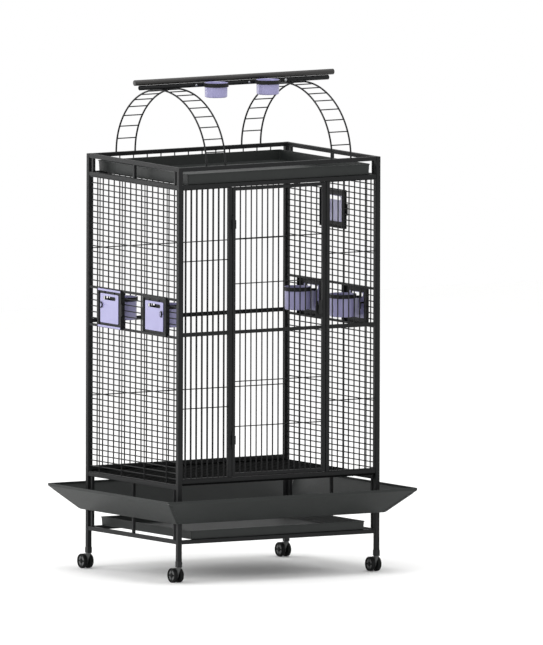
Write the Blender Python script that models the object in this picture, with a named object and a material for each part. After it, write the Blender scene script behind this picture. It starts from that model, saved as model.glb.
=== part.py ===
import math

import bmesh
import bpy
from mathutils import Matrix, Vector

# Parrot cage with a play top, on casters. Sizes are in metres.
# X runs along the front from left to right, Y from front to back, Z up from the floor.

# Overall sizes
WIDTH = 0.810  # outside of the corner posts
DEPTH = 0.600
BODY_TOP = 1.424  # top of the top rails
HEIGHT = 1.700  # top of the perch
SKIRT_WIDTH = 1.000
SKIRT_DEPTH = 0.780

# Stock
TUBE = 0.014  # square tube of the rails and fixed stiles
POST = TUBE + 0.002  # square tube of the corner posts, wider than the rails so that they meet its faces
DOOR_TUBE = 0.012
SHORT_POST = 0.010
BAR = 0.0045  # upright bars of front, back and door
WIRE = 0.0040  # level bars of the side walls, roof and grate
CROSS_WIRE = 0.0035
BRACE = 0.004  # thickness of the flat middle rails, which the bars stand behind
SHEET = 0.0012
STRIP = 0.003  # edge strips that close a barred panel
WIRE_SIDES = 4  # of every bar and wire
SHARP = 50  # degrees over which an edge stays sharp
SEAT = 0.0003  # gap between pieces that touch
LAP = 0.001  # how far shapes of one piece run into each other
PLAY = 0.002  # running gap round the front door

# Heights
LOWER_RAIL_Z = 0.139
BASE_RAIL_Z = 0.325
MID_RAIL_Z = 0.850
BAND = 0.047  # clear height of the slot that holds the top tray
CROSS_Z = (0.595, 1.100)  # cross wires of the front and back panels
DOOR_CROSS = (-0.325, -0.1705, 0.1645, 0.319)  # cross wires of the door, from its middle rail

# Spacing of bars
UPRIGHT_PITCH = 0.022
SIDE_PITCH = 0.0195
ROOF_PITCH = 0.027
GRATE_PITCH = 0.029
STOP_PITCH = 0.054

# Door and side walls
DOORWAY = 0.378
SIDE_DEPTH = 0.012
BASE_RAIL_DEPTH = 0.022
SHORT_POST_INSET = 0.026  # from the corner post, middle to middle

# Feeders
FEEDER_Y = 0.145
FEEDER_Z = 0.904
HATCH_Z = 1.222
SWING_W = 0.152  # swing frame of a feeder door
SWING_H = 0.134
SWING_LAP = 0.006  # how far it laps over its opening
OPENING_STRIP = 0.004
SWING_RIM = 0.009
SWING_THICK = 0.005
SWING_GAP = 0.0005  # between a swing frame and its wall
LEDGE = 0.005  # how far the guard plate lies on the frame's ledge
LEDGE_THICK = 0.002
PLATE_W = 0.115
PLATE_H = 0.100
PLATE_THICK = 0.002
PLATE_CORNER = 0.004
PLATE_SLOT = (0.080, 0.013)
SLOT_DROP = 0.008  # from the plate's top edge to its slot
KNOB_R = 0.011
KNOB_THICK = 0.0037
KNOB_INSET = 0.0055  # shaft from the plate's edge
KNOB_RISE = 0.010
TONGUE_W = 0.006
TONGUE_THICK = 0.0018
BOWL_R = 0.045
BOWL_H = 0.078
BOWL_WALL = 0.002
BOWL_RISE = 0.006  # of a bowl's rim over its ring
RING_WALL = 0.003
RING_H = 0.008
ARM_U = 0.030  # the two arms that carry a bowl ring, from the middle of the door
ARM_W = 0.008
EAR = 0.005  # height of each hinge ear

# Front door
PIN_R = 0.0018
SLEEVE_R = 0.0035
BORE_GAP = 0.0004
DOOR_SLEEVE = 0.030
BARREL = 0.014  # fixed barrels above and below a door sleeve
HINGE_Z = (0.480, 1.220)
LATCH_Z = 0.905
LATCH_SHAFT_R = 0.0030
LATCH_INSET = 0.012  # shaft from the door's stile
LATCH_HEAD_R = 0.009
LATCH_LENGTH = 0.038
LATCH_TIP = 0.005
LATCH_THICK = 0.004
LATCH_TONGUE = (0.008, 0.003)
LOCK_PLATE_W = 0.028
LOCK_PLATE_H = 0.044
LOCK_PLATE_THICK = 0.002

# Trays and grate
TOP_TRAY_GAP = 0.022
TOP_TRAY_H = 0.037
BOTTOM_TRAY_GAP = 0.039
BOTTOM_TRAY_H = 0.030
TRAY_RIM = 0.003
TRAY_DRAFT = 0.002  # how far a tray's walls lean out
GRATE = 0.006
GRATE_EDGE = 0.004

# Skirt
SKIRT_Z = 0.205
SKIRT_TOP = 0.290
SKIRT_FLANGE = 0.012
SKIRT_LIP = 0.008
SKIRT_SHEET = 0.0015

# Play top
PERCH_R = 0.010
PERCH_LENGTH = 0.800
PERCH_EDGE = 0.002
CARRIER_R = 0.008
CARRIER_LENGTH = 0.760
LADDER_X = 0.252
LADDER_W = 0.076
LADDER_ROD = 0.003
LADDER_SIDES = 6
RUNG = 0.004
RUNG_PITCH = 0.044
CUP_X = 0.104
CUP_R = 0.040
CUP_H = 0.050
CUP_GAP = 0.002  # between a cup's ring and the support tube
CUP_PAD = 0.020
ROUND_SIDES = 12  # bowls, cups and their rings

# Casters
WHEEL_R = 0.025
WHEEL_W = 0.014
WHEEL_GAP = 0.0006  # between a wheel and the web
TREAD_EDGE = 0.003
WEB = 0.009
WEB_R = 0.013
AXLE_R = 0.003
TRAIL = 0.020
COLLAR_R = 0.009
COLLAR_H = 0.004
STEM_R = 0.005
STEM = 0.024
PLUG_RISE = 0.004  # of a leg's plug over the wheels
PLUG_H = 0.020
PLUG_LIP = 0.001
WHEEL_SIDES = 16

# Places that follow from the sizes above
POST_X = WIDTH / 2 - POST / 2
POST_Y = DEPTH / 2 - POST / 2
SHORT_POST_Y = POST_Y - SHORT_POST_INSET
INNER_X = WIDTH / 2 - POST
INNER_Y = DEPTH / 2 - POST
TOP_RAIL_Z = BODY_TOP - TUBE / 2
HEADER_Z = TOP_RAIL_Z - TUBE - BAND
GRATE_Z = BASE_RAIL_Z + TUBE / 2 + SEAT
FRONT_BASE_Z = GRATE_Z + GRATE + SEAT + TUBE / 2
OPENING_W = SWING_W - 2 * SWING_LAP
OPENING_H = SWING_H - 2 * SWING_LAP
SIDE_FACE = SIDE_DEPTH / 2
SWING_BACK = SIDE_FACE + SWING_GAP
SWING_AXIS_U = -(SWING_W / 2 + SLEEVE_R + SEAT)
SWING_AXIS_W = SIDE_FACE + SLEEVE_R
PERCH_Z = HEIGHT - PERCH_R
CARRIER_Z = PERCH_Z - PERCH_R - SEAT - CARRIER_R
PLUG_Z = 2 * WHEEL_R + PLUG_RISE
UP = Vector((0, 0, 1))


def material(name, colour, roughness, metallic=0.0):
    made = bpy.data.materials.new(name)
    made.use_nodes = True
    shader = made.node_tree.nodes["Principled BSDF"]
    shader.inputs["Base Color"].default_value = (*colour, 1.0)
    shader.inputs["Roughness"].default_value = roughness
    shader.inputs["Metallic"].default_value = metallic
    return made


def placed(origin, u, v):
    """Where a piece lies: its own u and v axes in the room, with w square to both."""
    u, v = Vector(u), Vector(v)
    turn = Matrix((u, v, u.cross(v))).transposed().to_4x4()
    return Matrix.Translation(Vector(origin)) @ turn


# Closed shapes, each a bmesh of its own


def loft(loops):
    """Rings of equal count joined in order, and capped at both ends."""
    made = bmesh.new()
    rings = [[made.verts.new(point) for point in loop] for loop in loops]
    for lower, upper in zip(rings, rings[1:]):
        for i in range(len(lower)):
            j = (i + 1) % len(lower)
            made.faces.new((lower[i], lower[j], upper[j], upper[i]))
    made.faces.new(list(reversed(rings[0])))
    made.faces.new(rings[-1])
    bmesh.ops.recalc_face_normals(made, faces=made.faces)
    return made


def box(low, high):
    (x0, y0, z0), (x1, y1, z1) = low, high
    corners = ((x0, y0), (x1, y0), (x1, y1), (x0, y1))
    return loft([[(x, y, z) for x, y in corners] for z in (z0, z1)])


def circle(centre, axis, radius, sides):
    """Points round a centre, square to an axis, with a flat side rather than a corner at the start."""
    axis = Vector(axis).normalized()
    side = Vector((1, 0, 0)) if abs(axis.x) < 0.7 else Vector((0, 1, 0))
    first = axis.cross(side).normalized()
    second = axis.cross(first)
    points = []
    for i in range(sides):
        angle = 2 * math.pi * (i + 0.5) / sides
        points.append(Vector(centre) + radius * (math.cos(angle) * first + math.sin(angle) * second))
    return points


def rod(start, end, radius, sides=8):
    axis = Vector(end) - Vector(start)
    return loft([circle(point, axis, radius, sides) for point in (start, end)])


def wire(start, end, thickness):
    """A round wire with few sides, drawn a little fuller so that it keeps the round one's section."""
    step = 2 * math.pi / WIRE_SIDES
    fuller = math.sqrt(step / math.sin(step))
    return rod(start, end, thickness / 2 * fuller, WIRE_SIDES)


def swept(points, radius, sides):
    """A round rod along a line of points."""
    loops = []
    for i, point in enumerate(points):
        before = points[max(i - 1, 0)]
        after = points[min(i + 1, len(points) - 1)]
        loops.append(circle(point, after - before, radius, sides))
    return loft(loops)


def hollow_ring(loops):
    """Rings joined in order and back to the first, as round a bore or a window."""
    made = bmesh.new()
    rings = [[made.verts.new(point) for point in loop] for loop in loops]
    for lower, upper in zip(rings, rings[1:] + rings[:1]):
        for i in range(len(lower)):
            j = (i + 1) % len(lower)
            made.faces.new((lower[i], lower[j], upper[j], upper[i]))
    bmesh.ops.recalc_face_normals(made, faces=made.faces)
    return made


def sleeve(start, end, outer, inner, sides=8):
    """A round tube with a bore right through."""
    axis = Vector(end) - Vector(start)
    loops = ((start, outer), (end, outer), (end, inner), (start, inner))
    return hollow_ring([circle(point, axis, radius, sides) for point, radius in loops])


def window(outer, inner, low, high):
    """A flat rectangular frame. outer and inner are (u0, v0, u1, v1)."""
    loops = []
    for (u0, v0, u1, v1), w in ((outer, low), (outer, high), (inner, high), (inner, low)):
        loops.append([(u0, v0, w), (u1, v0, w), (u1, v1, w), (u0, v1, w)])
    return hollow_ring(loops)


def turned(profile, sides, centre=(0, 0, 0), axis=UP):
    """A body turned from (radius, height) pairs, closed by a disc at each end."""
    axis = Vector(axis)
    return loft([circle(Vector(centre) + axis * h, axis, r, sides) for r, h in profile])


def plate(outline, low, high):
    """A flat outline in u and v, thick from low to high along w."""
    return loft([[(u, v, w) for u, v in outline] for w in (low, high)])


def arc(centre, radius, start, end, count):
    """Points along an arc, in degrees."""
    points = []
    for i in range(count + 1):
        angle = math.radians(start + (end - start) * i / count)
        points.append((centre[0] + radius * math.cos(angle), centre[1] + radius * math.sin(angle)))
    return points


def pan(half_x, y0, y1, steps):
    """An open tray. steps are (outset, z) pairs from under the floor, over the rim, to the floor inside."""
    loops = []
    for out, z in steps:
        x, front, back = half_x + out, y0 - out, y1 + out
        loops.append([(-x, front, z), (x, front, z), (x, back, z), (-x, back, z)])
    return loft(loops)


def spaced(low, high, pitch):
    """Even places between two edges, as near to the pitch as they can be."""
    gaps = max(1, round((high - low) / pitch))
    return [low + (high - low) * i / gaps for i in range(1, gaps)]


def centred(low, high, pitch):
    """As many places as there are whole pitches between two edges, at just the pitch, about the middle."""
    count = int((high - low) / pitch)
    first = (low + high - (count - 1) * pitch) / 2
    return [first + i * pitch for i in range(count)]


# Making objects


def mesh_of(shapes, matrix):
    whole = bmesh.new()
    for shape in shapes:
        part = bpy.data.meshes.new("part")
        shape.to_mesh(part)
        shape.free()
        whole.from_mesh(part)
        bpy.data.meshes.remove(part)
    whole.transform(matrix)
    mesh = bpy.data.meshes.new("shape")
    whole.to_mesh(mesh)
    whole.free()
    return mesh


def boolean(target, shapes, matrix, operation):
    """Joins or cuts with an exact solver, and keeps only the result."""
    helper = bpy.data.objects.new("helper", mesh_of(shapes, matrix))
    bpy.context.scene.collection.objects.link(helper)
    helper.hide_render = True
    helper.display_type = "WIRE"
    step = target.modifiers.new("step", "BOOLEAN")
    step.operation = operation
    step.solver = "EXACT"
    step.use_self = operation == "UNION"
    step.object = helper
    graph = bpy.context.evaluated_depsgraph_get()
    result = bpy.data.meshes.new_from_object(target.evaluated_get(graph))
    target.modifiers.clear()
    old = target.data
    target.data = result
    bpy.data.meshes.remove(old)
    bpy.data.objects.remove(helper)


def make(name, finish, shapes, place=None, pivot=(0, 0, 0), parent=None, cuts=()):
    """One piece: its shapes joined into one body, its origin at the pivot, on its parent."""
    place = place or Matrix.Identity(4)
    pivot = Vector(pivot)
    made = bpy.data.objects.new(name, mesh_of(shapes[:1], place))
    bpy.context.scene.collection.objects.link(made)
    if len(shapes) > 1:
        boolean(made, shapes[1:], place, "UNION")
    if cuts:
        boolean(made, cuts, place, "DIFFERENCE")
    made.data.name = name
    made.data.transform(Matrix.Translation(-pivot))
    made.data.materials.clear()
    made.data.materials.append(finish)
    made.data.shade_smooth()
    made.data.set_sharp_from_angle(angle=math.radians(SHARP))
    made.location = pivot
    if parent:
        made.parent = parent
        made.location = pivot - parent.location
    return made


def upright_panel(width, height, depth, strips, bar, places, rail_at=None, rail=0.0, wires=()):
    """Shapes of a flat panel of upright bars, its lower left corner at 0, 0 and its middle plane at w = 0.

    strips are the widths of the left, right, bottom and top edges, and places are the bars' own.
    Cross wires pass behind the bars with a small gap and join the edge strips.
    """
    left, right, bottom, top = strips
    half = depth / 2
    shapes = [window((0, 0, width, height), (left, bottom, width - right, height - top), -half, half)]
    start, stop = left / 2, width - right / 2
    if rail_at is not None:
        shapes.append(box((start, rail_at - rail / 2, half - BRACE), (stop, rail_at + rail / 2, half)))
    for u in places:
        shapes.append(wire((u, bottom / 2, 0), (u, height - top / 2, 0), bar))
    w = -(bar / 2 + CROSS_WIRE / 2 + SEAT)
    for v in wires:
        shapes.append(wire((start, v, w), (stop, v, w), CROSS_WIRE))
    return shapes


def level_panel(width, height, edge, holes=(), wires=()):
    """Shapes of a side wall's panel of level bars, with framed openings. holes are (u0, v0, u1, v1).

    edge is the width of the bottom and top strips. Upright cross wires pass in front of the bars.
    """
    half = SIDE_DEPTH / 2
    shapes = [window((0, 0, width, height), (STRIP, edge, width - STRIP, height - edge), -half, half)]
    strip = OPENING_STRIP
    for u0, v0, u1, v1 in holes:
        shapes.append(window((u0 - strip, v0 - strip, u1 + strip, v1 + strip), (u0, v0, u1, v1), -half, half))
    for v in spaced(edge, height - edge, SIDE_PITCH):
        for start, stop in stretches(v, STRIP / 2, width - STRIP / 2, holes):
            shapes.append(wire((start, v, 0), (stop, v, 0), WIRE))
    w = WIRE / 2 + CROSS_WIRE / 2 + SEAT
    for u in wires:
        shapes.append(wire((u, edge / 2, w), (u, height - edge / 2, w), CROSS_WIRE))
    return shapes


def stretches(v, start, stop, holes):
    """The stretches of one level bar that its panel's openings leave."""
    left = [(start, stop)]
    reach = OPENING_STRIP + WIRE / 2
    for u0, v0, u1, v1 in holes:
        if not v0 - reach < v < v1 + reach:
            continue
        kept = []
        for a, b in left:
            if b < u0 or a > u1:
                kept.append((a, b))
                continue
            kept.append((a, u0 - OPENING_STRIP / 2))
            kept.append((u1 + OPENING_STRIP / 2, b))
        left = kept
    return left


# Frame


def side_frame(name, finish, place):
    """Two corner posts with their rails, short posts and leg plugs, seen from outside. u runs along the wall."""
    shapes = []
    half = POST / 2
    for u in (-POST_Y, POST_Y):
        shapes.append(box((u - half, PLUG_Z + PLUG_H / 3, -half), (u + half, BODY_TOP, half)))
        wide = half + PLUG_LIP
        shapes.append(box((u - wide, PLUG_Z, -wide), (u + wide, PLUG_Z + PLUG_H, wide)))
    reach = INNER_Y + POST / 3
    for z in (TOP_RAIL_Z, HEADER_Z, LOWER_RAIL_Z):
        shapes.append(box((-reach, z - TUBE / 2, -TUBE / 2), (reach, z + TUBE / 2, TUBE / 2)))
    low = (-reach, BASE_RAIL_Z - TUBE / 2, TUBE / 2 - BASE_RAIL_DEPTH)
    shapes.append(box(low, (reach, BASE_RAIL_Z + TUBE / 2, TUBE / 2)))
    for lower, upper in ((LOWER_RAIL_Z, BASE_RAIL_Z), (HEADER_Z, TOP_RAIL_Z)):
        for u in (-SHORT_POST_Y, 0, SHORT_POST_Y):
            half = SHORT_POST / 2
            shapes.append(box((u - half, lower, -half), (u + half, upper, half)))
    bores = []
    for u in (-POST_Y, POST_Y):
        bores.append(rod((u, PLUG_Z - LAP, 0), (u, PLUG_Z + STEM + 2 * LAP, 0), STEM_R + BORE_GAP, 10))
    return make(name, finish, shapes, place, cuts=bores)


def cross_rail(name, finish, y, z):
    half = TUBE / 2
    reach = INNER_X - SEAT
    return make(name, finish, [box((-reach, y - half, z - half), (reach, y + half, z + half))])


def roof_panel(finish):
    """The roof grille. Its front member is the rail over the door."""
    reach = INNER_X - SEAT
    front = -POST_Y - TUBE / 2
    back = POST_Y - TUBE / 2 - SEAT
    inner_front = front + TUBE
    half = TUBE / 2
    edge = box((-reach, front, HEADER_Z - half), (reach, inner_front, HEADER_Z + half))
    rim = (-reach, inner_front - STRIP, reach, back)
    opening = (-reach + STRIP, inner_front, reach - STRIP, back - STRIP)
    shapes = [edge, window(rim, opening, HEADER_Z - SIDE_FACE, HEADER_Z + SIDE_FACE)]
    for x in spaced(-reach + STRIP, reach - STRIP, ROOF_PITCH):
        shapes.append(wire((x, inner_front - STRIP, HEADER_Z), (x, back - STRIP / 2, HEADER_Z), WIRE))
    return make("roof_panel", finish, shapes)


# Walls


def side_place(side):
    """The wall's own axes, seen from outside: side is -1 for the left wall and 1 for the right."""
    return placed((side * POST_X, 0, 0), (0, side, 0), (0, 0, 1))


def swing_opening(u, z):
    return (u - OPENING_W / 2, z - OPENING_H / 2, u + OPENING_W / 2, z + OPENING_H / 2)


def swing_ears(u, z, hand):
    """Two ears and the pin between them, beside an opening. hand is 1 where the hinge is at the low u side."""
    axis = u + hand * SWING_AXIS_U
    near = u - hand * (OPENING_W + OPENING_STRIP) / 2
    far = axis - hand * SLEEVE_R
    step = axis + hand * SLEEVE_R * 0.4
    back = WIRE / 2 + LAP
    shapes = []
    for sign in (-1, 1):
        z0, z1 = sorted((z + sign * (DOOR_SLEEVE / 2 + SEAT), z + sign * (DOOR_SLEEVE / 2 + EAR)))
        a, b = sorted((near, far))
        shapes.append(box((a, z0, back), (b, z1, SIDE_FACE - 2 * SEAT)))
        a, b = sorted((step, far))
        shapes.append(box((a, z0, back), (b, z1, SWING_AXIS_W + SLEEVE_R * 0.92)))
    reach = (DOOR_SLEEVE + EAR) / 2
    shapes.append(rod((axis, z - reach, SWING_AXIS_W), (axis, z + reach, SWING_AXIS_W), PIN_R, 8))
    return shapes


def side_walls(finish, side, name):
    """Three barred panels one above another: the middle one holds the two feeder openings."""
    place = side_place(side)
    half_u = INNER_Y - SEAT
    panel_low = FEEDER_Z - OPENING_H / 2 - OPENING_STRIP
    panel_high = FEEDER_Z + OPENING_H / 2 + OPENING_STRIP
    bottom = BASE_RAIL_Z + TUBE / 2 + SEAT
    top = HEADER_Z - TUBE / 2 - SEAT
    wires = []
    for u in (-FEEDER_Y, FEEDER_Y):
        for edge in (-1, 1):
            wires.append(half_u + u + edge * (OPENING_W + OPENING_STRIP) / 2)
    feeders = [(u, FEEDER_Z, -1 if u < 0 else 1) for u in (-FEEDER_Y, FEEDER_Y)]
    hatches = [(0, HATCH_Z, 1)] if side > 0 else []
    spans = (
        ("lower_mesh", bottom, panel_low - SEAT, STRIP, [], wires),
        ("feeder_panel", panel_low, panel_high, OPENING_STRIP, feeders, []),
        ("upper_mesh", panel_high + SEAT, top, STRIP, hatches, wires),
    )
    for part, low, high, edge, swings, crossed in spans:
        holes = []
        for u, z, _ in swings:
            u0, v0, u1, v1 = swing_opening(u, z)
            holes.append((u0 + half_u, v0 - low, u1 + half_u, v1 - low))
        shapes = level_panel(2 * half_u, high - low, edge, holes, crossed)
        for shape in shapes:
            shape.transform(Matrix.Translation((-half_u, low, 0)))
        for u, z, hand in swings:
            shapes += swing_ears(u, z, hand)
        make(f"{name}_{part}", finish, shapes, place)


def front_panels(finish):
    """Fixed barred panels beside the doorway. The stile is on the doorway's side."""
    bottom = FRONT_BASE_Z + TUBE / 2 + SEAT
    top = HEADER_Z - TUBE / 2 - SEAT
    width = INNER_X - DOORWAY / 2 - SEAT
    for side, name in ((-1, "left"), (1, "right")):
        strips = (STRIP, TUBE, STRIP, STRIP) if side < 0 else (TUBE, STRIP, STRIP, STRIP)
        x = -INNER_X + SEAT if side < 0 else DOORWAY / 2
        places = centred(strips[0], width - strips[1], UPRIGHT_PITCH)
        shapes = upright_panel(
            width, top - bottom, TUBE, strips, BAR, places,
            rail_at=MID_RAIL_Z - bottom, rail=TUBE, wires=[z - bottom for z in CROSS_Z],
        )
        if side < 0:
            for z in HINGE_Z:
                shapes += door_ears(z - bottom, width)
        make(f"front_{name}_panel", finish, shapes, placed((x, -POST_Y, bottom), (1, 0, 0), (0, 0, 1)))


def door_ears(z, edge):
    """Fixed barrels and pin of one door hinge, in the left panel's own axes."""
    axis_u = edge + PLAY / 2
    axis_w = TUBE / 2 + SLEEVE_R
    shapes = []
    for sign in (-1, 1):
        z0, z1 = sorted((z + sign * (DOOR_SLEEVE / 2 + SEAT), z + sign * (DOOR_SLEEVE / 2 + BARREL)))
        shapes.append(rod((axis_u, z0, axis_w), (axis_u, z1, axis_w), SLEEVE_R, 10))
        low = (edge - TUBE, z0, TUBE / 2 - LAP)
        shapes.append(box(low, (edge - SEAT, z1, TUBE / 2 + SLEEVE_R - LAP)))
    reach = DOOR_SLEEVE / 2 + BARREL / 3
    shapes.append(rod((axis_u, z - reach, axis_w), (axis_u, z + reach, axis_w), PIN_R, 8))
    return shapes


def back_panel(finish):
    """The back from its base rail to its top rail, with the short wires that stop the top tray."""
    low = FRONT_BASE_Z - TUBE / 2
    width = 2 * (INNER_X - SEAT)
    height = BODY_TOP - low
    header = HEADER_Z - low
    shapes = [window((0, 0, width, height), (STRIP, TUBE, width - STRIP, height - TUBE), -TUBE / 2, TUBE / 2)]
    for z, thick in ((MID_RAIL_Z - low, BRACE), (header, TUBE)):
        low_corner = (STRIP / 2, z - TUBE / 2, TUBE / 2 - thick)
        shapes.append(box(low_corner, (width - STRIP / 2, z + TUBE / 2, TUBE / 2)))
    for u in spaced(STRIP, width - STRIP, UPRIGHT_PITCH):
        shapes.append(wire((u, TUBE / 2, 0), (u, header, 0), BAR))
    for u in spaced(STRIP, width - STRIP, STOP_PITCH):
        shapes.append(wire((u, header, 0), (u, height - TUBE / 2, 0), WIRE))
    w = -(BAR / 2 + CROSS_WIRE / 2 + SEAT)
    for z in CROSS_Z:
        shapes.append(wire((STRIP / 2, z - low, w), (width - STRIP / 2, z - low, w), CROSS_WIRE))
    make("back_panel", finish, shapes, placed((width / 2, POST_Y, low), (-1, 0, 0), (0, 0, 1)))


# Front door


def front_door(finish, black):
    bottom = FRONT_BASE_Z + TUBE / 2 + PLAY
    top = HEADER_Z - TUBE / 2 - PLAY
    width = DOORWAY - 2 * PLAY
    left = -width / 2
    middle = MID_RAIL_Z - bottom
    places = spaced(DOOR_TUBE, width - DOOR_TUBE, UPRIGHT_PITCH)
    shapes = upright_panel(
        width, top - bottom, DOOR_TUBE, (DOOR_TUBE,) * 4, BAR, places,
        rail_at=middle, rail=DOOR_TUBE, wires=[middle + z for z in DOOR_CROSS],
    )
    axis_x = -DOORWAY / 2 + PLAY / 2
    axis_y = -POST_Y - TUBE / 2 - SLEEVE_R
    axis_u = axis_x - left
    axis_w = TUBE / 2 + SLEEVE_R
    bore = PIN_R + BORE_GAP
    for z in HINGE_Z:
        z0, z1 = z - bottom - DOOR_SLEEVE / 2, z - bottom + DOOR_SLEEVE / 2
        shapes.append(sleeve((axis_u, z0, axis_w), (axis_u, z1, axis_w), SLEEVE_R, bore))
        low = (axis_u + bore + SEAT, z0, DOOR_TUBE / 2 - LAP)
        shapes.append(box(low, (DOOR_TUBE - LAP, z1, axis_w + LAP)))
    lock_u = width - DOOR_TUBE - LATCH_INSET
    lock_v = LATCH_Z - bottom
    lock_w = DOOR_TUBE / 2 - LAP - LOCK_PLATE_THICK
    low = (width - DOOR_TUBE - LOCK_PLATE_W, lock_v - LOCK_PLATE_H / 2, lock_w)
    shapes.append(box(low, (width - DOOR_TUBE / 2, lock_v + LOCK_PLATE_H / 2, lock_w + LOCK_PLATE_THICK)))
    hole = rod((lock_u, lock_v, -TUBE), (lock_u, lock_v, TUBE), LATCH_SHAFT_R + BORE_GAP, 10)
    place = placed((left, -POST_Y, bottom), (1, 0, 0), (0, 0, 1))
    door = make("front_door", finish, shapes, place, pivot=(axis_x, axis_y, 0), cuts=[hole])
    latch(black, door, left + lock_u)


def latch(black, door, x):
    """Lever, shaft and tongue. At rest lever and tongue point up, and a quarter turn locks the door."""
    place = placed((x, -POST_Y, LATCH_Z), (1, 0, 0), (0, 0, 1))
    front = TUBE / 2 + 2 * SEAT
    tip = LATCH_LENGTH - LATCH_TIP
    lever = arc((0, 0), LATCH_HEAD_R, 150, 390, 8) + [(LATCH_TIP, tip), (0, LATCH_LENGTH), (-LATCH_TIP, tip)]
    tongue_w, tongue_thick = LATCH_TONGUE
    reach = DOOR_TUBE + LATCH_INSET + PLAY + TUBE * 0.6
    back = -TUBE / 2 - 5 * SEAT
    shapes = [
        plate(lever, front, front + LATCH_THICK),
        rod((0, 0, back - tongue_thick / 2), (0, 0, front + LATCH_THICK / 2), LATCH_SHAFT_R, 10),
        box((-tongue_w / 2, -tongue_w / 2 - LAP, back - tongue_thick), (tongue_w / 2, reach, back)),
    ]
    make("door_latch", black, shapes, place, pivot=(x, -POST_Y, LATCH_Z), parent=door)


# Feeder doors and hatch


def slotted_plate(hand):
    """A guard plate with rounded corners, a slot to pull it by and a hole for the knob's shaft."""
    half_w, half_h = PLATE_W / 2, PLATE_H / 2
    outline = []
    for cu, cv, start in ((1, 1, 0), (-1, 1, 90), (-1, -1, 180), (1, -1, 270)):
        centre = (cu * (half_w - PLATE_CORNER), cv * (half_h - PLATE_CORNER))
        outline += arc(centre, PLATE_CORNER, start, start + 90, 2)
    low = SWING_BACK + LEDGE_THICK + SEAT
    shape = plate(outline, low, low + PLATE_THICK)
    slot_w, slot_h = PLATE_SLOT
    end = slot_w / 2 - slot_h / 2
    v = half_h - SLOT_DROP - slot_h / 2
    rounded = arc((end, v), slot_h / 2, -90, 90, 6) + arc((-end, v), slot_h / 2, 90, 270, 6)
    before, after = low - LAP, low + PLATE_THICK + LAP
    u, v = knob_centre(hand)
    hole = rod((u, v, before), (u, v, after), LATCH_SHAFT_R + BORE_GAP, 10)
    return shape, [plate(rounded, before, after), hole]


def knob_centre(hand):
    return hand * (PLATE_W / 2 - KNOB_INSET), KNOB_RISE


def swing_frame(hand):
    """A rim with a ledge for the guard plate, and the hinge sleeve on its side."""
    half_w, half_h = SWING_W / 2, SWING_H / 2
    rim_w, rim_h = half_w - SWING_RIM, half_h - SWING_RIM
    ledge_w, ledge_h = PLATE_W / 2 - LEDGE, PLATE_H / 2 - LEDGE
    outer = (-half_w, -half_h, half_w, half_h)
    rim = (-rim_w, -rim_h, rim_w, rim_h)
    lapped = (-rim_w - LAP, -rim_h - LAP, rim_w + LAP, rim_h + LAP)
    ledge = (-ledge_w, -ledge_h, ledge_w, ledge_h)
    axis = hand * SWING_AXIS_U
    bore = PIN_R + BORE_GAP
    length = DOOR_SLEEVE / 2
    a, b = sorted((axis + hand * (bore + SEAT), -hand * (half_w - 2 * LAP)))
    return [
        window(outer, rim, SWING_BACK, SWING_BACK + SWING_THICK),
        window(lapped, ledge, SWING_BACK, SWING_BACK + LEDGE_THICK),
        sleeve((axis, -length, SWING_AXIS_W), (axis, length, SWING_AXIS_W), SLEEVE_R, bore),
        box((a, -length, SWING_AXIS_W - SLEEVE_R / 2), (b, length, SWING_AXIS_W + SLEEVE_R / 2)),
    ]


def ring(centre, axis, radius):
    """A flat ring that a bowl hangs in by its rim."""
    outer, inner = radius + RING_WALL, radius + SEAT
    axis = Vector(axis)
    loops = []
    for r, h in ((outer, -RING_H / 2), (outer, RING_H / 2), (inner, RING_H / 2), (inner, -RING_H / 2)):
        loops.append(circle(Vector(centre) + axis * h, axis, r, ROUND_SIDES))
    return hollow_ring(loops)


def bowl_ring(centre_w):
    """The ring behind a feeder door, and the two arms that carry it."""
    top = BOWL_H / 2 - BOWL_RISE
    low = top - RING_H
    shapes = [ring((0, top - RING_H / 2, centre_w), (0, 1, 0), BOWL_R)]
    near = centre_w + math.sqrt((BOWL_R + 2 * SEAT) ** 2 - (ARM_U - ARM_W / 2) ** 2)
    for sign in (-1, 1):
        a, b = sorted((sign * (ARM_U - ARM_W / 2), sign * (ARM_U + ARM_W / 2)))
        shapes.append(box((a, low, near), (b, top, SWING_BACK + LAP)))
        shapes.append(box((a, low, SWING_BACK - LAP), (b, SWING_H / 2 - SWING_RIM, SWING_BACK + LEDGE_THICK)))
    return shapes


def turn_knob(name, black, place, hand, parent):
    """Half-round knob, shaft and tongue. At rest the tongue points down, and a quarter turn locks."""
    cu, cv = knob_centre(hand)
    front = SWING_BACK + SWING_THICK + SEAT
    start = 90 if hand > 0 else -90
    reach = OPENING_W / 2 + OPENING_STRIP * 0.75 - abs(cu)
    back = -SIDE_FACE - 2 * SEAT
    shapes = [
        plate(arc((0, 0), KNOB_R, start, start + 180, 8), front, front + KNOB_THICK),
        rod((0, 0, back - TONGUE_THICK / 2), (0, 0, front + LAP), LATCH_SHAFT_R, 10),
        box((-TONGUE_W / 2, -reach, back - TONGUE_THICK), (TONGUE_W / 2, TONGUE_W / 2, back)),
    ]
    centre = place @ Vector((cu, cv, 0))
    make(name, black, shapes, place @ Matrix.Translation((cu, cv, 0)), pivot=centre, parent=parent)


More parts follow.
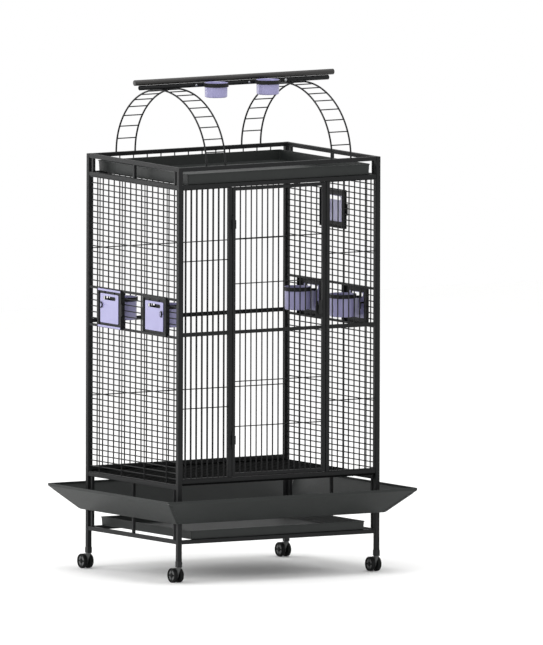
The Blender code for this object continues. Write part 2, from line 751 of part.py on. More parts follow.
def swing_door(name, finish, lavender, black, side, u, z, hand, with_bowl):
    """A feeder door: swing frame, guard plate, turn knob and, behind it, the ring with its bowl."""
    place = side_place(side) @ Matrix.Translation((u, z, 0))
    pivot = place @ Vector((hand * SWING_AXIS_U, 0, SWING_AXIS_W))
    centre_w = -(BOWL_R + RING_WALL)
    shapes = swing_frame(hand)
    if with_bowl:
        shapes += bowl_ring(centre_w)
    cu, cv = knob_centre(hand)
    notch = rod((cu, cv, 0), (cu, cv, SWING_BACK + SWING_THICK + LAP), LATCH_SHAFT_R + BORE_GAP, 10)
    door = make(f"{name}_door", finish, shapes, place, pivot=pivot, cuts=[notch])
    shape, cuts = slotted_plate(hand)
    make(f"{name}_plate", lavender, [shape], place, pivot=pivot, parent=door, cuts=cuts)
    turn_knob(f"{name}_knob", black, place, hand, door)
    if with_bowl:
        bowl(f"{name}_bowl", lavender, place @ Vector((0, 0, centre_w)), BOWL_R, BOWL_H, parent=door)


def bowl(name, finish, centre, radius, height, parent=None):
    """A round bowl with a rolled rim that rests on its ring. centre is the middle of its height."""
    low, high = -height / 2, height / 2
    rim = radius + RING_WALL * 0.8
    under = high - BOWL_RISE + SEAT
    inner = radius - BOWL_WALL
    profile = (
        (radius * 0.78, low),
        (radius * 0.93, low + height * 0.08),
        (radius - 2 * SEAT, under),
        (rim, under),
        (rim, high - BOWL_WALL),
        (inner, high),
        (inner * 0.93, low + height * 0.13),
        (inner * 0.72, low + 2 * BOWL_WALL),
    )
    make(name, finish, [turned(profile, ROUND_SIDES, centre)], pivot=centre, parent=parent)


# Sliding pieces


def tray(name, finish, half_x, back, low, height):
    """A tray that rests on a front and a back rail, with a folded rim."""
    front = -POST_Y - TUBE / 4
    high = low + height
    lean = TRAY_DRAFT
    steps = (
        (-2 * lean, low),
        (-lean, high - TRAY_RIM),
        (0, high - TRAY_RIM),
        (0, high),
        (-lean - SHEET, high),
        (-2 * lean - SHEET, low + SHEET),
    )
    make(name, finish, [pan(half_x, front, back, steps)])


def trays(finish):
    back = POST_Y - WIRE / 2 - LAP
    tray("top_tray", finish, INNER_X - TOP_TRAY_GAP, back, HEADER_Z + TUBE / 2 + SEAT, TOP_TRAY_H)
    low = LOWER_RAIL_Z + TUBE / 2 + SEAT
    tray("bottom_tray", finish, INNER_X - BOTTOM_TRAY_GAP, POST_Y, low, BOTTOM_TRAY_H)


def floor_grate(finish):
    """The slide-out grate that rests on the side base rails."""
    half = INNER_X - 2 * SEAT
    front = -POST_Y - TUBE / 4
    places = spaced(GRATE_EDGE, 2 * half - GRATE_EDGE, GRATE_PITCH)
    shapes = upright_panel(2 * half, POST_Y - front, GRATE, (GRATE_EDGE,) * 4, WIRE, places)
    make("floor_grate", finish, shapes, placed((-half, front, GRATE_Z + GRATE / 2), (1, 0, 0), (0, 1, 0)))


# Skirt


def skirt_panel(name, finish, place, half_length, out, spread):
    """A sloped sheet with a flange at the posts and a turned-up lip, mitred to its neighbours."""
    t = SKIRT_SHEET
    section = (
        (SEAT, SKIRT_Z - t),
        (SKIRT_FLANGE, SKIRT_Z - t),
        (out, SKIRT_TOP - SKIRT_LIP),
        (out, SKIRT_TOP),
        (out - t, SKIRT_TOP),
        (out - t, SKIRT_TOP - SKIRT_LIP + t / 2),
        (SKIRT_FLANGE - t / 2, SKIRT_Z),
        (SEAT, SKIRT_Z),
    )
    loops = []
    for sign in (-1, 1):
        loops.append([(sign * (half_length + w * spread / out - 2 * SEAT), z, w) for w, z in section])
    make(name, finish, [loft(loops)], place)


def skirts(finish):
    out_front = (SKIRT_DEPTH - DEPTH) / 2
    out_side = (SKIRT_WIDTH - WIDTH) / 2
    sides = (
        ("front_skirt", (0, -DEPTH / 2, 0), (1, 0, 0), WIDTH / 2, out_front, out_side),
        ("back_skirt", (0, DEPTH / 2, 0), (-1, 0, 0), WIDTH / 2, out_front, out_side),
        ("left_skirt", (-WIDTH / 2, 0, 0), (0, -1, 0), DEPTH / 2, out_side, out_front),
        ("right_skirt", (WIDTH / 2, 0, 0), (0, 1, 0), DEPTH / 2, out_side, out_front),
    )
    for name, origin, u, half_length, out, spread in sides:
        skirt_panel(name, finish, placed(origin, u, (0, 0, 1)), half_length, out, spread)


# Play top


def arch_points():
    """Points along half an ellipse from the front rail to the back rail, an even rung pitch apart."""
    rise = CARRIER_Z - CARRIER_R - SEAT - LADDER_ROD - BODY_TOP - SEAT
    fine = 400
    curve = []
    for i in range(fine + 1):
        angle = math.pi * i / fine
        curve.append(Vector((0, -POST_Y * math.cos(angle), BODY_TOP + SEAT + rise * math.sin(angle))))
    lengths = [0.0]
    for a, b in zip(curve, curve[1:]):
        lengths.append(lengths[-1] + (b - a).length)
    gaps = 2 * int(lengths[-1] / RUNG_PITCH / 2)
    points = []
    for i in range(gaps + 1):
        want = lengths[-1] * i / gaps
        j = min(range(fine + 1), key=lambda k: abs(lengths[k] - want))
        points.append(curve[j])
    return points


def ladder(name, finish, x):
    points = arch_points()
    shapes = []
    for side in (-1, 1):
        shift = Vector((x + side * LADDER_W / 2, 0, 0))
        shapes.append(swept([point + shift for point in points], LADDER_ROD, LADDER_SIDES))
    for point in points[1:-1]:
        low = point + Vector((x - LADDER_W / 2, 0, 0))
        high = point + Vector((x + LADDER_W / 2, 0, 0))
        shapes.append(wire(low, high, RUNG))
    make(name, finish, shapes)


def play_top(finish, lavender, wood):
    ladder("left_ladder", finish, -LADDER_X)
    ladder("right_ladder", finish, LADDER_X)
    half = CARRIER_LENGTH / 2
    make("support_tube", finish, [rod((-half, 0, CARRIER_Z), (half, 0, CARRIER_Z), CARRIER_R, 12)])
    half = PERCH_LENGTH / 2
    edge = PERCH_EDGE
    ends = PERCH_R - edge
    profile = ((ends, -half), (PERCH_R, -half + edge), (PERCH_R, half - edge), (ends, half))
    make("perch", wood, [turned(profile, 16, (0, 0, PERCH_Z), (1, 0, 0))])
    outer = CUP_R + RING_WALL
    y = -(CARRIER_R + SEAT + outer + CUP_GAP)
    z = CARRIER_Z
    for name, x in (("left", -CUP_X), ("right", CUP_X)):
        low = (x - CUP_PAD / 2, y + outer - 2 * LAP, z - RING_H / 2)
        pad = box(low, (x + CUP_PAD / 2, -CARRIER_R - SEAT, z + RING_H / 2))
        make(f"{name}_cup_holder", finish, [ring((x, y, z), UP, CUP_R), pad])
        centre = Vector((x, y, z + RING_H / 2 + BOWL_RISE - CUP_H / 2))
        bowl(f"{name}_cup", lavender, centre, CUP_R, CUP_H)


# Casters


def caster(name, black, rubber, x, y):
    """A swivel fork with one web between its twin wheels. The wheels trail behind the stem."""
    axle_y, axle_z = y + TRAIL, WHEEL_R
    top = PLUG_Z - SEAT
    under = top - COLLAR_H + LAP
    web = arc((TRAIL, axle_z), WEB_R, -180, 20, 8) + [(TRAIL + 2 * LAP, under), (-WEB_R / 2, under)]
    place = placed((x, y, 0), (0, 1, 0), (0, 0, 1))
    shapes = [
        plate(web, -WEB / 2, WEB / 2),
        rod((0, top - COLLAR_H, 0), (0, top, 0), COLLAR_R, 10),
        rod((0, top - LAP, 0), (0, PLUG_Z + STEM, 0), STEM_R, 8),
    ]
    bore = rod((TRAIL, axle_z, -WEB), (TRAIL, axle_z, WEB), AXLE_R + BORE_GAP, 10)
    fork = make(f"{name}_caster_fork", black, shapes, place, pivot=(x, y, 0), cuts=[bore])
    radius = WHEEL_R / math.cos(math.pi / WHEEL_SIDES)
    profile = (
        (radius * 0.90, 0),
        (radius, TREAD_EDGE),
        (radius, WHEEL_W - TREAD_EDGE),
        (radius * 0.86, WHEEL_W),
        (radius * 0.70, WHEEL_W - TREAD_EDGE),
    )
    shapes = []
    inner = WEB / 2 + WHEEL_GAP
    for side in (-1, 1):
        start = Vector((x + side * inner, axle_y, axle_z))
        shapes.append(turned(profile, WHEEL_SIDES, start, (side, 0, 0)))
    reach = inner + WHEEL_W * 0.5
    shapes.append(rod((x - reach, axle_y, axle_z), (x + reach, axle_y, axle_z), AXLE_R, 10))
    make(f"{name}_caster_wheels", rubber, shapes, pivot=(x, axle_y, axle_z), parent=fork)


def build():
    for old in list(bpy.data.objects):
        bpy.data.objects.remove(old)
    coat = material("charcoal_powder_coat", (0.035, 0.036, 0.037), 0.55)
    sheet = material("charcoal_sheet", (0.045, 0.050, 0.051), 0.5)
    lavender = material("lavender_enamel", (0.50, 0.47, 0.76), 0.4)
    black = material("black_nylon", (0.012, 0.012, 0.013), 0.5)
    rubber = material("wheel_rubber", (0.020, 0.020, 0.021), 0.75)
    wood = material("stained_wood", (0.030, 0.024, 0.021), 0.5)

    for side, name in ((-1, "left"), (1, "right")):
        side_frame(f"{name}_side_frame", coat, side_place(side))
        side_walls(coat, side, name)
    cross_rail("front_top_rail", coat, -POST_Y, TOP_RAIL_Z)
    cross_rail("front_base_rail", coat, -POST_Y, FRONT_BASE_Z)
    cross_rail("front_lower_rail", coat, -POST_Y, LOWER_RAIL_Z)
    cross_rail("back_lower_rail", coat, POST_Y, LOWER_RAIL_Z)
    roof_panel(coat)
    front_panels(coat)
    back_panel(coat)
    front_door(coat, black)

    for side, wall in ((-1, "left"), (1, "right")):
        for end, y in (("rear", FEEDER_Y), ("front", -FEEDER_Y)):
            u = y * side
            hand = 1 if u > 0 else -1
            swing_door(f"{wall}_{end}_feeder", coat, lavender, black, side, u, FEEDER_Z, hand, True)
    swing_door("upper_hatch", coat, lavender, black, 1, 0, HATCH_Z, 1, False)

    trays(sheet)
    floor_grate(coat)
    skirts(sheet)
    play_top(coat, lavender, wood)
    for end, y in (("front", -POST_Y), ("rear", POST_Y)):
        for side, x in (("left", -POST_X), ("right", POST_X)):
            caster(f"{end}_{side}", black, rubber, x, y)


build()
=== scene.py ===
import math
from itertools import groupby

import bmesh
import bpy
from mathutils import Matrix, Vector


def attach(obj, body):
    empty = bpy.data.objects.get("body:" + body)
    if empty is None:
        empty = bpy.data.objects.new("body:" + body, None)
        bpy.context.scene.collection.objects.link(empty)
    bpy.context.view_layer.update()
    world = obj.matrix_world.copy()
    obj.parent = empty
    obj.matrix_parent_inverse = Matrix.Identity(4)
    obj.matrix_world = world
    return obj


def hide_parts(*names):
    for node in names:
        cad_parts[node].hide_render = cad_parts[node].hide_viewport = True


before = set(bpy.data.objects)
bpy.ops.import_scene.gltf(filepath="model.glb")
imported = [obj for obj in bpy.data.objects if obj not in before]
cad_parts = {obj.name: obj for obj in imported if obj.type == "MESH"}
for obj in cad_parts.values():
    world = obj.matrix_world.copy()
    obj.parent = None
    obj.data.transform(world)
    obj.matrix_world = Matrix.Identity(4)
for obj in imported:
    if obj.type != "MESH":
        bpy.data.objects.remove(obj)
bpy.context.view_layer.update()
print("frame loaded:", len(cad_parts), "nodes")

# Sizes in metres, as the frame has them. X runs along the front, Y to the back, Z up.
cage = {
    "postX": 0.397, "postY": 0.292, "innerX": 0.389, "innerY": 0.284,
    "post": 0.016, "tube": 0.014, "shortPost": 0.010, "shortPostY": 0.266,
    "bar": 0.0045, "wire": 0.0040, "crossWire": 0.0035, "strip": 0.003, "sideDepth": 0.012,
    "lowerZ": 0.139, "baseZ": 0.325, "frontBaseZ": 0.3456, "middleZ": 0.850, "headerZ": 1.356,
    "topRailZ": 1.417, "top": 1.424, "seat": 0.0003, "tubeEdge": 0.0014, "thinEdge": 0.0006, "barPitch": 0.022,
    "barSides": 12, "weldShare": 1.5, "weldFlare": 1.45,
}
view = {"azimuth": -31.86, "elevation": 5.66, "roll": 0.16, "aim": (0.1545, 0.0, 0.8411),
        "photoHeight": 645, "pixelsPerMetre": 292.93, "distance": 5.0}


# Small tools


def linear(hexText):  # sRGB hex to linear colour
    parts = [int(hexText[i:i + 2], 16) / 255 for i in (1, 3, 5)]
    return (*[c / 12.92 if c < 0.04045 else ((c + 0.055) / 1.055) ** 2.4 for c in parts], 1.0)


def addNode(tree, kind, inputs=(), settings=()):
    # an input takes a value, a socket, a node's first output, or a list of nodes
    node = tree.nodes.new(kind)
    for key, value in dict(settings).items():
        setattr(node, key, value)
    for socket, given in dict(inputs).items():
        for value in given if isinstance(given, list) else [given]:
            if isinstance(value, bpy.types.Node):
                value = value.outputs[0]
            if isinstance(value, bpy.types.NodeSocket):
                tree.links.new(value, node.inputs[socket])
            else:
                node.inputs[socket].default_value = value
    return node


def added(name, data):  # a new object in the scene
    made = bpy.data.objects.new(name, data)
    bpy.context.scene.collection.objects.link(made)
    return made


def evaluated(made):  # a plain mesh of an object, with its modifiers applied
    graph = bpy.context.evaluated_depsgraph_get()
    return bpy.data.meshes.new_from_object(made.evaluated_get(graph))


# Materials


def newFinish(name):  # a material, its tree and the Object coordinates
    finish = bpy.data.materials.new(name)
    finish.use_nodes = True
    tree = finish.node_tree
    return finish, tree, addNode(tree, "ShaderNodeTexCoord").outputs["Object"]


def perMetre(millimetres):  # a pattern's scale from its real size
    return 1000 / millimetres


def dressed(finish, tones, colour, gloss=None, relief=None, constants=()):
    # colour blends two tones, gloss is a pattern with its limits, relief a height with its strength and depth
    tree = finish.node_tree
    shader = tree.nodes["Principled BSDF"]
    blend = addNode(tree, "ShaderNodeMix", {"Factor": colour, 6: linear(tones[0]), 7: linear(tones[1])},
                    {"data_type": "RGBA"})
    tree.links.new(blend.outputs[2], shader.inputs["Base Color"])
    if gloss:
        limits = dict(zip(("Value", "To Min", "To Max", "From Min", "From Max"), gloss))
        tree.links.new(addNode(tree, "ShaderNodeMapRange", limits).outputs[0], shader.inputs["Roughness"])
    if relief:
        bump = addNode(tree, "ShaderNodeBump", dict(zip(("Height", "Strength", "Distance"), relief)))
        tree.links.new(bump.outputs[0], shader.inputs["Normal"])
    for socket, value in dict(constants).items():
        shader.inputs[socket].default_value = value
    return finish


def powderCoat(name="powderCoat", tones=("#0E0F10", "#151617"), peelMm=1.6, rough=0.52, shine=0.22):
    # polyester powder baked on welded steel: satin, with the fine orange peel that the oven leaves
    finish, tree, place = newFinish(name)
    cloud = addNode(tree, "ShaderNodeTexNoise", {"Vector": place, "Scale": perMetre(70), "Detail": 3.0})
    peel = addNode(tree, "ShaderNodeTexNoise", {"Vector": place, "Scale": perMetre(peelMm), "Detail": 2.0})
    return dressed(finish, tones, cloud, (peel, rough - 0.06, rough + 0.08, 0.3, 0.7), (peel, 0.22, 0.0002),
                   {"IOR": 1.5, "Specular IOR Level": shine})


def coatedSheet():
    # the same powder on folded sheet steel: a little greener and smoother, with a slow wave from the rolling
    finish = powderCoat("coatedSheet", ("#1C1F1E", "#232625"), 2.2, 0.5, 0.3)
    tree = finish.node_tree
    place = tree.nodes["Texture Coordinate"].outputs["Object"]
    wave = addNode(tree, "ShaderNodeTexNoise", {"Vector": place, "Scale": perMetre(45), "Detail": 1.0})
    rolling = addNode(tree, "ShaderNodeBump", {"Height": wave, "Strength": 0.18, "Distance": 0.002})
    tree.links.new(rolling.outputs[0], tree.nodes["Bump"].inputs["Normal"])
    return finish


def lavenderEnamel():
    # stove enamel on pressed steel: smooth and glossy, with faint speckle and a slightly uneven coat
    finish, tree, place = newFinish("lavenderEnamel")
    cloud = addNode(tree, "ShaderNodeTexNoise", {"Vector": place, "Scale": perMetre(38), "Detail": 2.0})
    speck = addNode(tree, "ShaderNodeTexNoise", {"Vector": place, "Scale": perMetre(1.1), "Detail": 1.0})
    both = addNode(tree, "ShaderNodeMath", {0: speck, 1: 0.35, 2: cloud}, {"operation": "MULTIPLY_ADD"})
    return dressed(finish, ("#8B88B0", "#9996BE"), both, (speck, 0.26, 0.40), (cloud, 0.10, 0.001),
                   {"Coat Weight": 0.2, "Coat Roughness": 0.2})


def mouldedNylon(name="mouldedNylon", tones=("#0C0D0E", "#151617")):
    # injection-moulded nylon: black, with the fine spark-eroded grain of the mould
    finish, tree, place = newFinish(name)
    grain = addNode(tree, "ShaderNodeTexVoronoi", {"Vector": place, "Scale": perMetre(0.9)})
    return dressed(finish, tones, grain, (grain, 0.42, 0.6), (grain, 0.2, 0.0001), {"Specular IOR Level": 0.3})


def wheelRubber():
    # thermoplastic rubber: dull black, with fine dust that lightens it in patches
    finish, tree, place = newFinish("wheelRubber")
    dust = addNode(tree, "ShaderNodeTexNoise", {"Vector": place, "Scale": perMetre(9), "Detail": 5.0})
    return dressed(finish, ("#0A0B0B", "#141515"), dust, (dust, 0.55, 0.85), (dust, 0.15, 0.0003),
                   {"Specular IOR Level": 0.15})


def zincPlate():
    # bright zinc on steel screws: pale metal with a soft mottle from the bath
    finish, tree, place = newFinish("zincPlate")
    mottle = addNode(tree, "ShaderNodeTexNoise", {"Vector": place, "Scale": perMetre(2.5), "Detail": 3.0})
    return dressed(finish, ("#8E9093", "#B9BBBD"), mottle, (mottle, 0.22, 0.42), constants={"Metallic": 1.0})


def stainedWood():
    # a turned hardwood dowel under near-black stain: long grain along X shows faintly
    finish, tree, place = newFinish("stainedWood")
    long = addNode(tree, "ShaderNodeMapping", {"Vector": place, "Scale": (0.06, 1.0, 1.0)})
    grain = addNode(tree, "ShaderNodeTexNoise", {
        "Vector": long, "Scale": perMetre(2.0), "Detail": 6.0, "Roughness": 0.6})
    return dressed(finish, ("#191817", "#2A2826"), grain, (grain, 0.42, 0.62), (grain, 0.35, 0.0003))


coat = powderCoat()
shadedGrateCoat = powderCoat("shadedGrateCoat", ("#070808", "#0B0C0C"), 1.6, 0.72, 0.06)  # painted shade: a darker, matt copy of the same powder coat, nearly black, on the grate
sheet = coatedSheet()
lavender = lavenderEnamel()
nylon = mouldedNylon()
greyNylon = mouldedNylon("greyNylon", ("#484949", "#585959"))  # the same in mid grey, on the casters
rubber = wheelRubber()
zinc = zincPlate()
wood = stainedWood()
print("materials made")


# Geometry node trees


def newTree(name, sockets):  # an empty tree with named inputs, and its in and out nodes
    tree = bpy.data.node_groups.new(name, "GeometryNodeTree")
    for label, kind in {"Geometry": "Geometry", **sockets}.items():
        tree.interface.new_socket(label, in_out="INPUT", socket_type=f"NodeSocket{kind}")
    tree.interface.new_socket("Geometry", in_out="OUTPUT", socket_type="NodeSocketGeometry")
    return tree, addNode(tree, "NodeGroupInput").outputs, addNode(tree, "NodeGroupOutput")


def endTree(tree, shape, material, out):
    real = addNode(tree, "GeometryNodeRealizeInstances", {"Geometry": shape})
    painted = addNode(tree, "GeometryNodeSetMaterial", {"Geometry": real, "Material": material})
    tree.links.new(painted.outputs[0], out.inputs[0])
    return tree


def sweptBar(tree, line, sides, radius, scale=1.0):  # a round bar along a curve
    section = addNode(tree, "GeometryNodeCurvePrimitiveCircle", {"Resolution": sides, "Radius": radius})
    return addNode(tree, "GeometryNodeCurveToMesh", {
        "Curve": line, "Profile Curve": section, "Fill Caps": True, "Scale": scale})


def barRowTree():
    # a row of round bars, each with a small cone of weld and paint at both ends
    tree, given, out = newTree("barRow", {
        "Start": "Vector", "Step": "Vector", "Count": "Int", "Reach": "Vector", "Radius": "Float", "Sides": "Int",
        "Weld": "Float", "Flare": "Float", "Material": "Material",
    })
    places = addNode(tree, "GeometryNodeMeshLine", {
        "Count": given["Count"], "Start Location": given["Start"], "Offset": given["Step"]}, {"mode": "OFFSET"})
    line = addNode(tree, "GeometryNodeCurvePrimitiveLine", {"End": given["Reach"]})
    shapes = [sweptBar(tree, line, given["Sides"], given["Radius"])]
    along = addNode(tree, "ShaderNodeVectorMath", {0: given["Reach"]}, {"operation": "NORMALIZE"})
    weld = addNode(tree, "ShaderNodeVectorMath", {0: along, "Scale": given["Weld"]}, {"operation": "SCALE"})
    back = addNode(tree, "ShaderNodeVectorMath", {0: given["Reach"], 1: weld}, {"operation": "SUBTRACT"})
    for start, end in (((0, 0, 0), weld), (given["Reach"], back)):
        short = addNode(tree, "GeometryNodeCurvePrimitiveLine", {"Start": start, "End": end})
        part = addNode(tree, "GeometryNodeSplineParameter")
        taper = addNode(tree, "ShaderNodeMapRange", {"Value": part, "To Min": given["Flare"], "To Max": 1.0})
        shapes.append(sweptBar(tree, short, given["Sides"], given["Radius"], taper))
    whole = addNode(tree, "GeometryNodeJoinGeometry", {"Geometry": shapes})
    row = addNode(tree, "GeometryNodeInstanceOnPoints", {"Points": places, "Instance": whole})
    return endTree(tree, row, given["Material"], out)


def ladderTree():
    # two rods bent to half an ellipse over the cage, joined by rungs an even way apart
    tree, given, out = newTree("ladder", {
        "Middle": "Vector", "Half Span": "Float", "Rise": "Float", "Width": "Float", "Rod": "Float",
        "Rung": "Float", "Gaps": "Int", "Sides": "Int", "Material": "Material",
    })
    half = addNode(tree, "GeometryNodeCurveArc", {
        "Resolution": 97, "Radius": 1.0, "Start Angle": 0.0, "Sweep Angle": math.pi}, {"mode": "RADIUS"})
    size = addNode(tree, "ShaderNodeCombineXYZ", {"X": given["Half Span"], "Y": given["Rise"], "Z": 1.0})
    flat = addNode(tree, "GeometryNodeTransform", {"Geometry": half, "Scale": size})
    arch = addNode(tree, "GeometryNodeTransform", {  # from XY to YZ
        "Geometry": flat, "Rotation": (math.pi / 2, 0.0, math.pi / 2)})
    pole = sweptBar(tree, arch, given["Sides"], given["Rod"])
    ends, shapes = [], []
    for side in (-0.5, 0.5):
        shift = addNode(tree, "ShaderNodeMath", {0: given["Width"], 1: side}, {"operation": "MULTIPLY"})
        ends.append(addNode(tree, "ShaderNodeCombineXYZ", {"X": shift}))
        shapes.append(addNode(tree, "GeometryNodeTransform", {"Geometry": pole, "Translation": ends[-1]}))
    count = addNode(tree, "ShaderNodeMath", {0: given["Gaps"], 1: 1.0}, {"operation": "ADD"})
    steps = addNode(tree, "GeometryNodeCurveToPoints", {"Curve": arch, "Count": count}, {"mode": "COUNT"})
    index = addNode(tree, "GeometryNodeInputIndex")
    first = addNode(tree, "FunctionNodeCompare", {2: index, 3: 0}, {"data_type": "INT", "operation": "GREATER_THAN"})
    last = addNode(tree, "FunctionNodeCompare", {2: index, 3: given["Gaps"]},
                   {"data_type": "INT", "operation": "LESS_THAN"})
    inside = addNode(tree, "FunctionNodeBooleanMath", {0: first, 1: last}, {"operation": "AND"})
    across = addNode(tree, "GeometryNodeCurvePrimitiveLine", {"Start": ends[0], "End": ends[1]})
    rung = sweptBar(tree, across, given["Sides"], given["Rung"])
    shapes.append(addNode(tree, "GeometryNodeInstanceOnPoints", {
        "Points": steps, "Selection": inside, "Instance": rung}))
    whole = addNode(tree, "GeometryNodeJoinGeometry", {"Geometry": shapes})
    moved = addNode(tree, "GeometryNodeTransform", {"Geometry": whole, "Translation": given["Middle"]})
    return endTree(tree, moved, given["Material"], out)


def screwTree():
    # dome-headed screws on a row of places, each on its washer, pointing along one axis
    tree, given, out = newTree("screws", {
        "Axis": "Vector", "Head": "Float", "Height": "Float", "Washer": "Float", "Material": "Material"})
    dome = addNode(tree, "GeometryNodeMeshUVSphere", {"Segments": 16, "Rings": 8, "Radius": 1.0})
    disc = addNode(tree, "GeometryNodeMeshCylinder", {"Vertices": 20, "Radius": 1.45, "Depth": 1.0})
    shapes = []
    for shape, high in ((dome, given["Height"]), (disc, given["Washer"])):
        size = addNode(tree, "ShaderNodeCombineXYZ", {"X": given["Head"], "Y": given["Head"], "Z": high})
        shapes.append(addNode(tree, "GeometryNodeTransform", {"Geometry": shape, "Scale": size}))
    whole = addNode(tree, "GeometryNodeJoinGeometry", {"Geometry": shapes})
    turn = addNode(tree, "FunctionNodeAlignRotationToVector", {"Vector": given["Axis"]}, {"axis": "Z"})
    screws = addNode(tree, "GeometryNodeInstanceOnPoints", {
        "Points": given["Geometry"], "Instance": whole, "Rotation": turn})
    return endTree(tree, screws, given["Material"], out)


def grown(tree, settings, points=()):  # a plain mesh from a tree, on its seed points
    seed = bpy.data.meshes.new("seed")
    if points:
        seed.from_pydata(points, [], [])
    holder = added("holder", seed)
    modifier = holder.modifiers.new("grow", "NODES")
    modifier.node_group = tree
    for item in tree.interface.items_tree:
        if item.item_type == "SOCKET" and item.in_out == "INPUT" and item.name in settings:
            modifier[item.identifier] = settings[item.name]
    result = evaluated(holder)
    bpy.data.objects.remove(holder)
    return result


barRow = barRowTree()
ladder = ladderTree()
screwRow = screwTree()
print("node trees made")


# Shapes and pieces


def placed(origin, along):  # a piece's u axis runs along, its v axis up, and its w axis square to both
    u, v = Vector(along), Vector((0, 0, 1))
    turn = Matrix((u, v, u.cross(v))).transposed().to_4x4()
    return Matrix.Translation(Vector(origin)) @ turn


def begin(name, finish, place=Matrix()):  # a piece with its main finish and its own axes
    return {"name": name, "finish": finish, "place": place, "shape": bmesh.new(), "finishes": []}


def put(piece, shape, turn=Matrix(), finish=None):  # one more shape, or a mesh from a tree, goes into its piece
    finish = finish or piece["finish"]
    mesh = shape
    if isinstance(shape, bmesh.types.BMesh):
        mesh = bpy.data.meshes.new("part")
        shape.to_mesh(mesh)
        shape.free()
    mesh.transform(piece["place"] @ turn)
    if finish not in piece["finishes"]:
        piece["finishes"].append(finish)
    whole = piece["shape"]
    before = len(whole.faces)
    whole.from_mesh(mesh)
    whole.faces.ensure_lookup_table()
    for face in whole.faces[before:]:
        face.material_index = piece["finishes"].index(finish)
    bpy.data.meshes.remove(mesh)


def fitted(piece, body, nodes=()):  # the finished piece goes on its body
    mesh = bpy.data.meshes.new(piece["name"])
    piece["shape"].to_mesh(mesh)
    piece["shape"].free()
    for finish in piece["finishes"]:
        mesh.materials.append(finish)
    mesh.shade_smooth()
    mesh.set_sharp_from_angle(angle=math.radians(50))
    made = added(piece["name"], mesh)
    faces = made.modifiers.new("faces", "WEIGHTED_NORMAL")  # flat faces stay flat between soft edges
    faces.keep_sharp = True
    made.data = evaluated(made)
    made.modifiers.clear()
    made.data.name = piece["name"]
    bpy.data.meshes.remove(mesh)
    if nodes:
        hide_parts(*nodes)
    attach(made, body)


def softened(shape, edge, rings=2):  # its sharp edges are rounded over
    sharp = [e for e in shape.edges if e.is_manifold and e.calc_face_angle(0) > math.radians(40)]
    bmesh.ops.bevel(shape, geom=sharp, offset=edge, segments=rings, profile=0.5, affect="EDGES", clamp_overlap=True)
    return shape


def block(low, high, edge=cage["tubeEdge"], rings=3):
    shape = bmesh.new()
    bmesh.ops.create_cube(shape, size=1.0)
    middle = [(a + b) / 2 for a, b in zip(low, high)]
    for corner in shape.verts:
        corner.co = [m + c * (b - a) for m, c, a, b in zip(middle, corner.co, low, high)]
    return softened(shape, edge, rings)


def smallBlock(low, high, edge=cage["thinEdge"]):
    return block(low, high, edge, 2)


def lofted(loops, ends=True):  # rings of equal count joined in order, and capped or joined back to the first
    shape = bmesh.new()
    rings = [[shape.verts.new(point) for point in loop] for loop in loops]
    pairs = list(zip(rings, rings[1:]))
    if not ends:
        pairs.append((rings[-1], rings[0]))
    for lower, upper in pairs:
        for i in range(len(lower)):
            j = (i + 1) % len(lower)
            shape.faces.new((lower[i], lower[j], upper[j], upper[i]))
    if ends:
        shape.faces.new(list(reversed(rings[0])))
        shape.faces.new(rings[-1])
    bmesh.ops.recalc_face_normals(shape, faces=shape.faces[:])
    return shape


def turned(profile, sides=48, ends=True):  # (radius, height) pairs turned about the third axis
    loops = []
    for radius, height in profile:
        angles = [2 * math.pi * i / sides for i in range(sides)]
        loops.append([(radius * math.cos(a), radius * math.sin(a), height) for a in angles])
    return lofted(loops, ends)


def rod(radius, low, high, sides=24):
    return turned([(radius, low), (radius, high)], sides)


def mirrored(tip):  # a whole profile from its upper half
    return [(radius, -height) for radius, height in reversed(tip)] + tip


def sleeve(bore, radius, long, soft):  # an open tube about the third axis, with soft outer edges
    half = long / 2
    return turned(mirrored([(radius, half - soft), (radius - soft, half), (bore, half)]), 24, ends=False)


def upright(origin, axis=(0, 0, 1)):  # a turned shape's place: its own third axis along the one given
    turn = Vector((0, 0, 1)).rotation_difference(Vector(axis))
    return Matrix.Translation(Vector(origin)) @ turn.to_matrix().to_4x4()


def arc(centre, radius, start, end, steps):
    points = []
    for i in range(steps + 1):
        angle = math.radians(start + (end - start) * i / steps)
        points.append((centre[0] + radius * math.cos(angle), centre[1] + radius * math.sin(angle)))
    return points


def framed(u0, v0, u1, v1, radius=0.0, steps=4):  # a rectangle's outline, with rounded corners if it has a radius
    if radius <= 0:
        return [(u0, v0), (u1, v0), (u1, v1), (u0, v1)]
    corners = ((u1, v1, -1, -1), (u0, v1, 1, -1), (u0, v0, 1, 1), (u1, v0, -1, 1))
    points = []
    for turn, (u, v, du, dv) in enumerate(corners):
        points += arc((u + du * radius, v + dv * radius), radius, turn * 90, turn * 90 + 90, steps)
    return points


def evenFrame(halfU, halfV, radius):  # a rounded rectangle about the middle
    return framed(-halfU, -halfV, halfU, halfV, radius)


def cutPlate(outline, holes, low, high, edge=cage["thinEdge"], rings=2):  # flat, from low to high, with its holes
    shape = bmesh.new()
    for loop in (outline, *holes):
        corners = [shape.verts.new((u, v, low)) for u, v in loop]
        for a, b in zip(corners, corners[1:] + corners[:1]):
            shape.edges.new((a, b))
    bmesh.ops.triangle_fill(shape, use_beauty=True, use_dissolve=False, edges=shape.edges[:])
    raised = bmesh.ops.extrude_face_region(shape, geom=shape.faces[:])["geom"]
    above = [item for item in raised if isinstance(item, bmesh.types.BMVert)]
    bmesh.ops.translate(shape, verts=above, vec=(0, 0, high - low))
    bmesh.ops.recalc_face_normals(shape, faces=shape.faces[:])
    return softened(shape, edge, rings)


